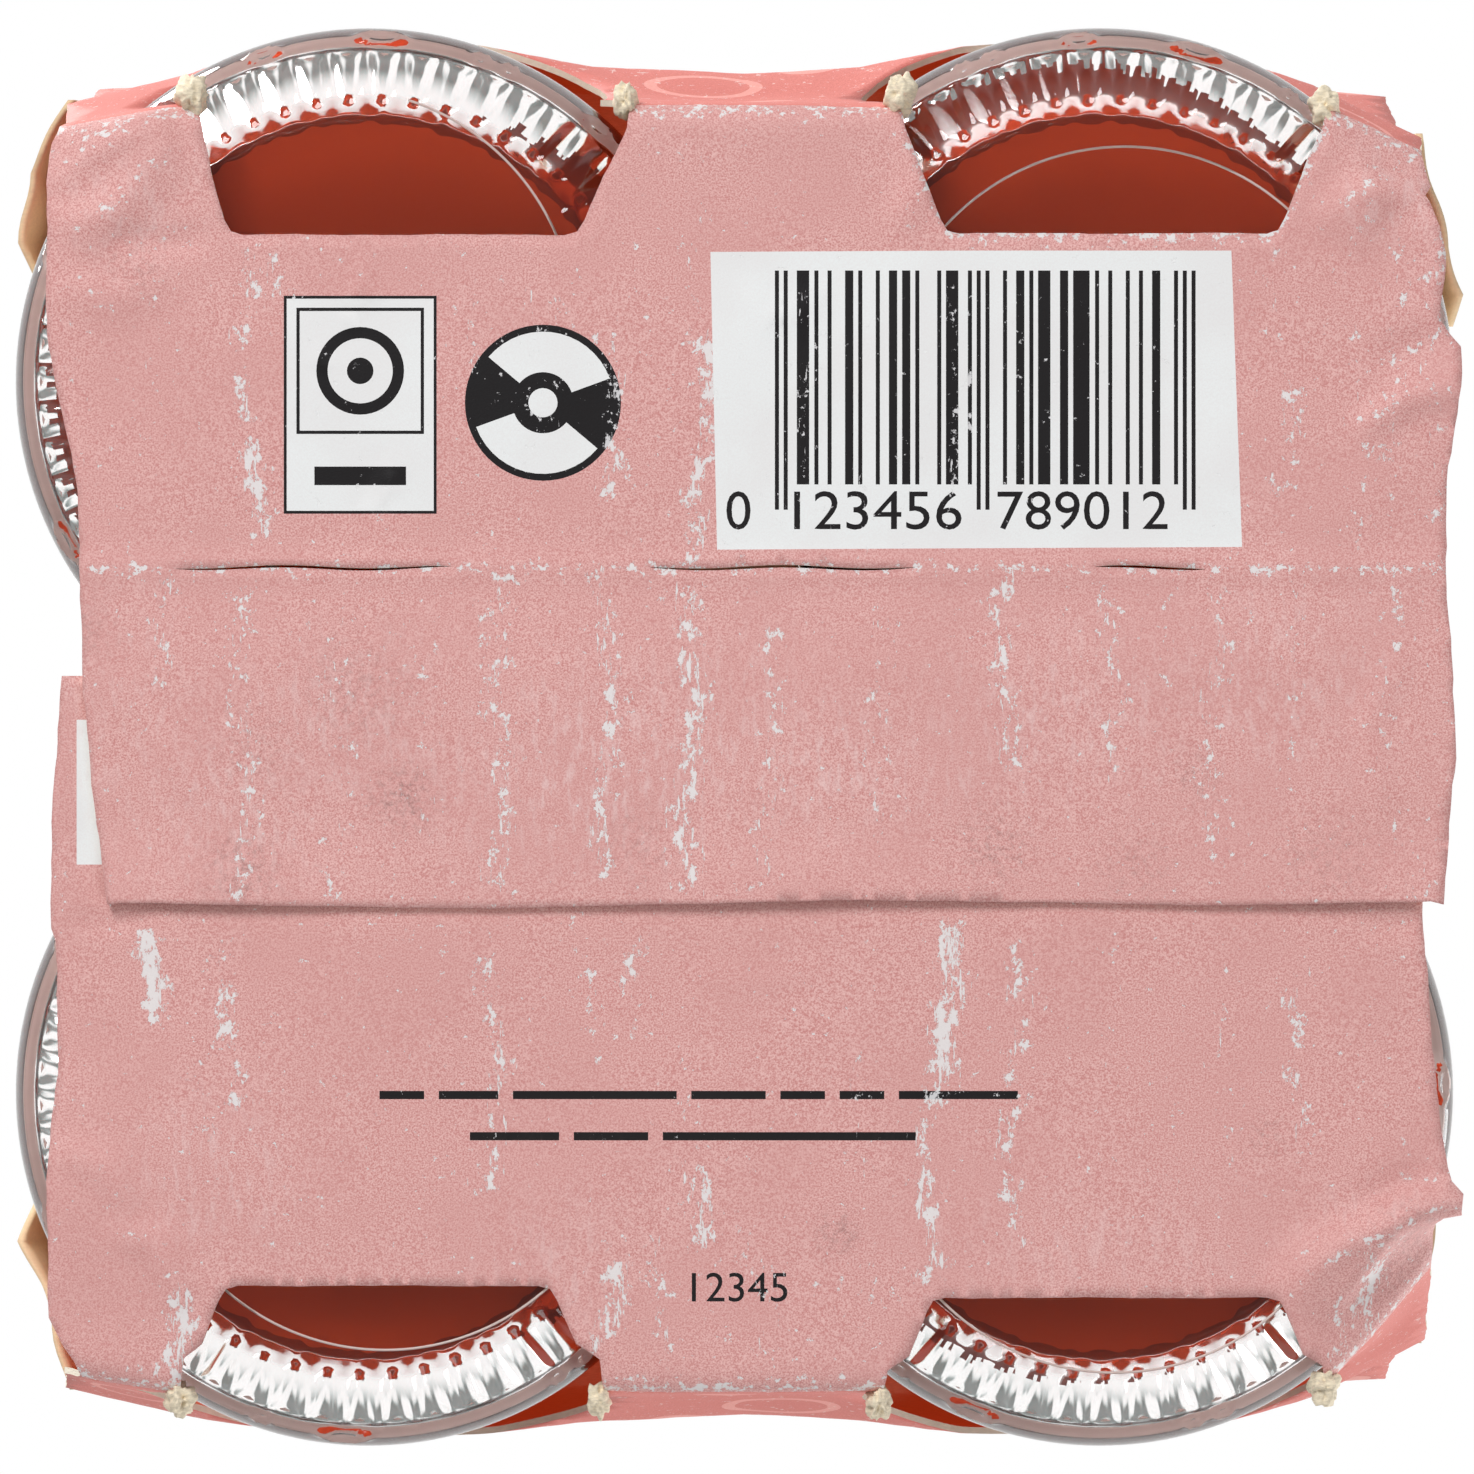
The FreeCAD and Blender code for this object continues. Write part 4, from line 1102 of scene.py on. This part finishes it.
def wear(flat, folded_points):
    """Fields of wear at every point: white scuffs, pale rubbing, grey dirt and worn edges."""
    x, y = folded_points.T[:2]
    base = (flat[:, 1] < RUN[3]) | (flat[:, 1] > RUN[10])
    scuff = np.zeros(len(x))
    for at, start, end, wide, strong in STREAKS:
        drift = at + 0.5 * np.sin(y * 0.31 + at) + 0.25 * np.sin(y * 1.1 + at * 2)
        past = np.maximum(np.maximum(start - y, y - end), 0)
        scuff = np.maximum(scuff, strong * bell(x - drift, wide * 1.25) * bell(past, 1.0))
    haze = np.zeros(len(x))
    for at, to, wide, tall, strong in PATCHES:
        haze = np.maximum(haze, strong * bell(x - at, wide) * bell(y - to, tall))
    dirt = np.zeros(len(x))
    for at, to, reach, strong in SPOTS:
        dirt = np.maximum(dirt, strong * bell(np.hypot(x - at, y - to), reach))
    fold = np.minimum(bell(flat[:, 1] - RUN[3] - 0.3, 0.9)
                      + bell(flat[:, 1] - RUN[10] + 0.3, 0.9), 1)
    for k in range(4, 10):
        fold = np.maximum(fold, 0.8 * bell(flat[:, 1] - RUN[k], 0.6))
    crease = 0
    for line, up, *_ in CREASES:
        crease = np.maximum(crease, tent(x, y, line, min(1.0, abs(up) * 1.3), 0.9, 0.9))
    torn = wrap_holes()[1]               # the front right opening's edge is torn
    near = np.full(len(x), 9.0)
    close = np.nonzero((np.abs(flat[:, 0] - 28) < 18) & base & (y < -36))[0]
    near[close] = np.sqrt(((flat[close, None, :] - torn[None, :, :]) ** 2).sum(axis=2)).min(axis=1)
    crease = np.maximum(crease, 1.1 * bell(near, 0.55))
    crease = np.maximum(np.where(base, crease, 0),
                        0.9 * bell(flat[:, 1] - on_front(CREASE), 0.32))
    ends = smooth_step(48.5, 53.5, np.abs(x))
    return {"scuff": np.where(base, scuff, 0.34), "haze": np.where(base, haze, 0),
            "dirt": np.where(base, dirt, 0), "fold": np.maximum(fold, crease), "ends": ends}


def make_wrap(materials):
    flat, faces, slots = triangulate(blank_outline(), wrap_holes(), prints())
    sheet = crumpled(np.column_stack([flat[:, 0], section(flat[:, 1])]), flat[:, 1])
    out = section_out(flat[:, 1])
    shift = np.column_stack([np.zeros(len(flat)), out]) * HALF
    count = len(flat)
    points = np.vstack([sheet + shift, sheet - shift])
    # outer face, inner face, and the raw edge all round both
    sides = np.vstack([faces[:, [0, 1]], faces[:, [1, 2]], faces[:, [2, 0]]])
    _, index, times = np.unique(np.sort(sides, axis=1), axis=0, return_index=True,
                                return_counts=True)
    rim = sides[index[times == 1]]
    every = [tuple(f) for f in faces] + [tuple(f[::-1] + count) for f in faces]
    every += [(b, a, a + count, b + count) for a, b in rim]
    every = face_front(points, every, np.append(0, out[faces[0][0]]))
    slots = np.concatenate([slots, np.full(len(faces), INNER), np.full(len(rim), RAW)])
    wrap = make_piece("carton_wrap", points, every, materials, slots, "carton",
                      crisp_from=2 * len(faces))
    for name, values in wear(flat, sheet).items():
        add_field(wrap, name, np.concatenate([values, values]))


# ---- board materials
def shaded(colour, *factors):
    """A display colour with its linear channels scaled, by one factor or by three."""
    return (*(min(1, part * by) for part, by in zip(tone(*colour)[:3], factors * 3)), 1)


def worn_print(name, colour, grain=0.16, scuffed=(236, 234, 234), rough=0.62, fleck=1.0):
    """A printed face: paper grain, white scuffs, rubbed haze, dirt and pale worn folds."""
    look = Look(name, Roughness=rough, Specular_IOR_Level=0.28)
    spot, times = look.place(), look.times

    def spread(factors, scale, detail, rough=0.7):
        return look.noise(look.scaled(spot, factors) if factors else spot, scale, detail, rough)

    def cover(share, paint, colour):
        return look.mix(share, paint, tone(*colour))

    fine = spread(None, 7.5, 1.0)
    paint = look.mix(look.between(fine, 0.30, 0.70),
                     shaded(colour, 1 - grain, 1 - 2.1 * grain, 1 - 2.1 * grain),
                     shaded(colour, 1 + 0.9 * grain, 1 + 2 * grain, 1 + 2 * grain))
    broad = look.between(spread(None, 0.09, 2.0, 0.5), 0.42, 0.62)
    paint = look.mix(times(broad, 0.35), paint, shaded(colour, 0.93, 0.88, 0.88))
    hazy = look.between(spread((1.6, 0.5, 0.8), 0.9, 5.0), 0.47, 0.66)
    paint = cover(times(times(look.field("haze"), hazy), 0.9), paint, (240, 210, 208))
    grime = look.between(spread(None, 1.7, 5.0, 0.72), 0.42, 0.72)
    paint = cover(times(times(look.field("dirt"), grime), 0.9), paint, (120, 92, 88))
    # bare white: worn folds, chips, thin lines and nicked ends
    scuff = times(look.field("scuff"), 0.285 * fleck)
    white = None
    for noise_value, field, low, high in (
            (spread(None, 1.4, 4.0), times(look.field("fold"), 0.155), 0.655, 0.70),
            (spread((1.0, 0.7, 0.8), 1.15, 6.0, 0.72), scuff, 0.715, 0.735),
            (spread((3.2, 0.55, 0.8), 0.9, 4.0), scuff, 0.765, 0.79),
            (spread(None, 0.9, 6.0, 0.75), times(look.field("ends"), 0.07), 0.735, 0.75)):
        mark = look.between(look.math("ADD", noise_value, field), low, high)
        white = mark if white is None else look.math("MAXIMUM", white, mark)
    look.set(Base_Color=cover(times(white, 0.88), paint, scuffed))
    look.bump(fine, 0.25, 0.00006)
    look.bump(white, 0.5, -0.00005)
    return look.material


def kraft(name, colour, grain=0.12):
    look = Look(name, Roughness=0.85)
    fibre = look.noise(look.scaled(look.place(), (1, 3, 1)), 1.4, 5.0, 0.7)
    look.set(Base_Color=look.mix(look.between(fibre, 0.3, 0.7), shaded(colour, 1 - grain),
                                 shaded(colour, 1 + grain)))
    look.bump(fibre, 0.4, 0.0001)
    return look


def inside_board():
    """The kraft inside with painted light: red low down, and a red glow (emission) low down and
    behind the bottles, standing in for light through the drink.
    """
    look = kraft("board_inside", (200, 160, 124))
    spot = look.place()
    side, out = (look.math("ABSOLUTE", look.axis(spot, name)) for name in "XY")
    up = look.axis(spot, "Z")
    on_wall = look.between(out, 45, 49)
    glow = look.times(look.between(up, 52, 30), on_wall)
    behind = look.times(look.between(side, 50, 44), look.between(up, 130, 118))
    behind = look.times(behind, on_wall)
    before = look.shader.inputs["Base Color"].links[0].from_socket
    # painted light: the colour turns red and the board glows red where light through the drink
    # would fall
    look.set(Base_Color=look.mix(glow, before, tone(205, 84, 58)),
             Emission_Color=(0.22, 0.018, 0.004, 1),
             Emission_Strength=look.math("MAXIMUM", glow, behind))
    return look.material


def board_looks():
    return [
        worn_print("print_pink", (224, 168, 164)),
        inside_board(),
        kraft("board_edge", (232, 220, 200), 0.06).material,
        worn_print("print_black", (25, 22, 24), 0.05, (228, 226, 228), 0.5, 0.92),
        worn_print("print_white", (240, 241, 241), 0.012, (246, 246, 246), 0.55, 0.6),
        worn_print("print_coral", (220, 122, 112), 0.10, (240, 208, 202)),
        worn_print("print_pale_coral", (240, 160, 150), 0.06, (244, 214, 208)),
        worn_print("print_cream", (246, 236, 222), 0.02, (250, 246, 240)),
    ]


# ---- crushed bits and ears
def make_knot(name, place, size, seed, material):
    """A small wad of crushed board where a fold is squeezed between the openings."""
    rows, columns = 26, 36
    polar = np.linspace(0, math.pi, rows)[1:-1][:, None]
    unit = swung(np.sin(polar), np.cos(polar), full_turn(columns)).reshape(-1, 3)
    unit = np.vstack([unit, (0, 0, 1), (0, 0, -1)])
    shape = []
    for a, b, c in unit.tolist():
        wave = noise.noise(Vector((a * 1.6 + seed, b * 1.6, c * 1.2)))
        pleat = abs(noise.noise(Vector((a * 2.4, b * 2.4 + seed, c * 0.9))))
        shape.append(1.25 + 0.40 * wave - 0.60 * pleat)
    points = unit * np.array(shape)[:, None] * size + place
    make_piece(name, points, flipped(turned_faces(rows - 2, columns)), [material])


def make_knots(material):
    spots = (
        ("a", (-41.4, -48.4, 2.2), (1.15, 1.3, 1.9)), ("b", (-8.8, -48.0, 2.2), (0.75, 1.3, 1.6)),
        ("c", (11.9, -48.4, 2.2), (0.95, 1.4, 1.8)), ("d", (43.9, -47.4, 2.6), (0.95, 1.3, 1.7)),
        ("e", (-42.4, 49.9, 2.6), (1.0, 1.2, 1.7)), ("f", (-10.8, 50.0, 2.4), (0.75, 1.2, 1.5)),
        ("g", (10.3, 50.2, 2.4), (0.9, 1.2, 1.5)), ("h", (43.9, 49.0, 3.0), (1.0, 1.2, 1.6)),
    )
    for seed, (name, place, size) in enumerate(spots):
        make_knot(f"crushed_board_{name}", np.array(place), np.array(size), seed * 3.7, material)


# the ears' low edges as (X, |Y|, height), from the wall's end to the free tip
EAR_EDGES = {
    "front_left": ((52.1, 49.4, 31), (54.3, 45.4, 32), (55.2, 43.8, 33), (55.9, 38.4, 34),
                   (54.6, 34.2, 37)),
    "front_right": ((52.3, 46.8, 31), (53.8, 41.5, 32), (54.6, 38, 33), (55.9, 34.4, 34),
                    (55, 32, 37)),
    "back_left": ((52.1, 50.6, 31), (53.4, 45, 32), (54.4, 42.4, 33), (55.9, 39.2, 34),
                  (54.8, 35.6, 37)),
    "back_right": ((52.2, 47, 31), (52.8, 42, 32), (53.2, 40, 33), (53.6, 38, 34),
                   (53.7, 34, 37)),
}


def make_ear(place, material):
    """A leaning kraft ear from the wall's end, its low edge standing furthest out."""
    side, end = np.sign(CENTRES[place][:2])
    low = np.array(EAR_EDGES[place], float)
    step = np.linspace(0, len(low) - 1, 25)
    low = np.column_stack([np.interp(step, range(len(low)), low[:, k]) for k in range(3)])
    high = np.column_stack([np.interp(low[:, 1], (33, 38.4, 45, 50), (53.7, 53.2, 52.4, 51.6)),
                            np.interp(low[:, 1], (32, 44, 47, 50.6), (32.4, 44.2, 47.9, 51.2)),
                            np.interp(low[:, 1], (33, 38, 50), (50, 56, 57))])
    fine = np.stack([low + (high - low) * t for t in np.linspace(0, 1, 12)])
    fine[:, :, 0] += 0.22 * np.sin(fine[:, :, 1] * 0.9 + fine[:, :, 2] * 0.3)
    fine = fine * (side, end, 1)
    out = np.array([side, 0, -0.1]) * HALF
    points = np.vstack([(fine + out).reshape(-1, 3), (fine - out).reshape(-1, 3)])
    faces = face_front(points, sheet_faces(*fine.shape[:2]), (side, 0, 0))
    make_piece(f"carton_ear_{place}", points, faces, [material])


# ---- stage, light and camera
def make_floor():
    """A pale floor that shows from above only, so that the underside can be seen and lit."""
    look = Look("floor", Base_Color=tone(238, 237, 235), Roughness=0.85)
    choice = look.add("ShaderNodeMixShader")
    look.feed(choice.inputs[0], look.add("ShaderNodeNewGeometry").outputs["Backfacing"])
    look.feed(choice.inputs[1], look.shader.outputs[0])
    look.feed(choice.inputs[2], look.add("ShaderNodeBsdfTransparent").outputs[0])
    look.feed(look.out.inputs["Surface"], choice.outputs[0])
    side, level = 3, -0.0004             # half its width, and just below the foot
    corners = np.array([(-1, -1, 0), (1, -1, 0), (1, 1, 0), (-1, 1, 0)]) * side + (0, 0, level)
    floor = add_mesh("floor", corners, [(0, 1, 2, 3)], [look.material])
    for kind in ("shadow", "diffuse", "glossy", "transmission"):
        setattr(floor, f"visible_{kind}", False)


def make_light(name, place, target, size, power):
    data = bpy.data.lights.new(name, "AREA")
    data.shape = "DISK"
    data.size = size
    data.energy = power
    light = add_object(name, data)
    light.location = place
    aim = Vector(target) - Vector(place)
    light.rotation_euler = aim.to_track_quat("-Z", "Y").to_euler()


def make_world(below):
    """White, with soft dark patches partway up for the glass to mirror, and dim below."""
    world = bpy.data.worlds.new("studio")
    world.use_nodes = True
    sky = Nodes(world.node_tree)
    spot = sky.add("ShaderNodeTexCoord").outputs["Generated"]
    height = sky.axis(spot, "Z")
    clear = sky.between(sky.noise(spot, 2.6, 1.0, 0.5), 0.44, 0.56, 1.0, 0.24)
    for band in ((0.16, 0.36, 1, 0), (0.58, 0.78, 0, 1)):
        clear = sky.math("MAXIMUM", clear, sky.between(height, *band))
    lit = sky.between(height, -0.28, 0.02, below, 1.0)
    sky.fill(sky.tree.nodes["Background"], Strength=sky.times(clear, lit),
             Color=sky.mix(clear, (0.78, 1.0, 0.98, 1), (1, 1, 1, 1)))
    bpy.context.scene.world = world


def make_camera():
    """A long lens a metre below the base, looking straight up with the front wall at the top."""
    seen = 110.85 * MM                   # the width of the view at a metre
    data = bpy.data.cameras.new("camera")
    data.sensor_width = 36
    data.lens = data.sensor_width / seen
    data.clip_start = 0.01
    camera = add_object("camera", data)
    camera.location = (-0.4 * MM, 0, -1.0)
    camera.rotation_euler = (math.pi, 0, 0)
    bpy.context.scene.camera = camera


bpy.context.scene.view_settings.view_transform = "Standard"
make_world(0.25)
make_floor()
make_light("key_below", (-0.5, -0.9, -1.1), (0, 0, 0.02), 0.7, 16.2)
make_light("fill_below", (0.7, 1.0, -1.0), (0, 0, 0.02), 0.9, 6.6)
make_light("key_above", (-0.9, -0.8, 1.3), (0, 0, 0.08), 0.9, 23)
make_light("fill_above", (1.2, 0.5, 0.9), (0, 0, 0.08), 1.2, 10)
make_camera()


# ---- the pack
make_wrap(board_looks())
make_knots(kraft("crushed_tan", (236, 222, 196), 0.2).material)
EAR = kraft("ear_kraft", (244, 216, 176), 0.05).material
for place in PLACES:
    make_ear(place, EAR)
GLASS = Look("clear_glass", Base_Color=(0.985, 0.995, 0.99, 1), Roughness=0.0, IOR=1.52,
             Transmission_Weight=1.0).material
# the drink and its copies for the heel: a mirroring one and a pale one (painted reflection), and a
# darker one (painted shade)
DRINKS = [drink_look("red_drink", 0.89, (196, 66, 32)),
          drink_look("red_drink_painted_mirror", 0.67, (84, 31, 22)),
          drink_look("red_drink_painted_reflection", 0.89, (230, 194, 186)),
          drink_look("red_drink_painted_shade", 0.89, (138, 46, 26))]
for place, turn in zip(PLACES, (3, 17, 8, 26)):
    make_bottle(place, turn, GLASS)
    make_drink(place, DRINKS)
CAP, LABEL = cap_look(), label_look()
for place, turn in zip(PLACES, (9, -12, -6, 4)):
    make_cap(place, turn * 3.1, CAP)
    make_label(place, turn, LABEL)
LINE = Look("mould_line", Base_Color=tone(214, 190, 184), Roughness=0.25).material
for place, shift in zip(PLACES, ((-2.5, -3.6), (1.7, 0.8), (1.4, 0.9), (0.9, 2.6))):
    make_mould_line(place, shift, LINE)
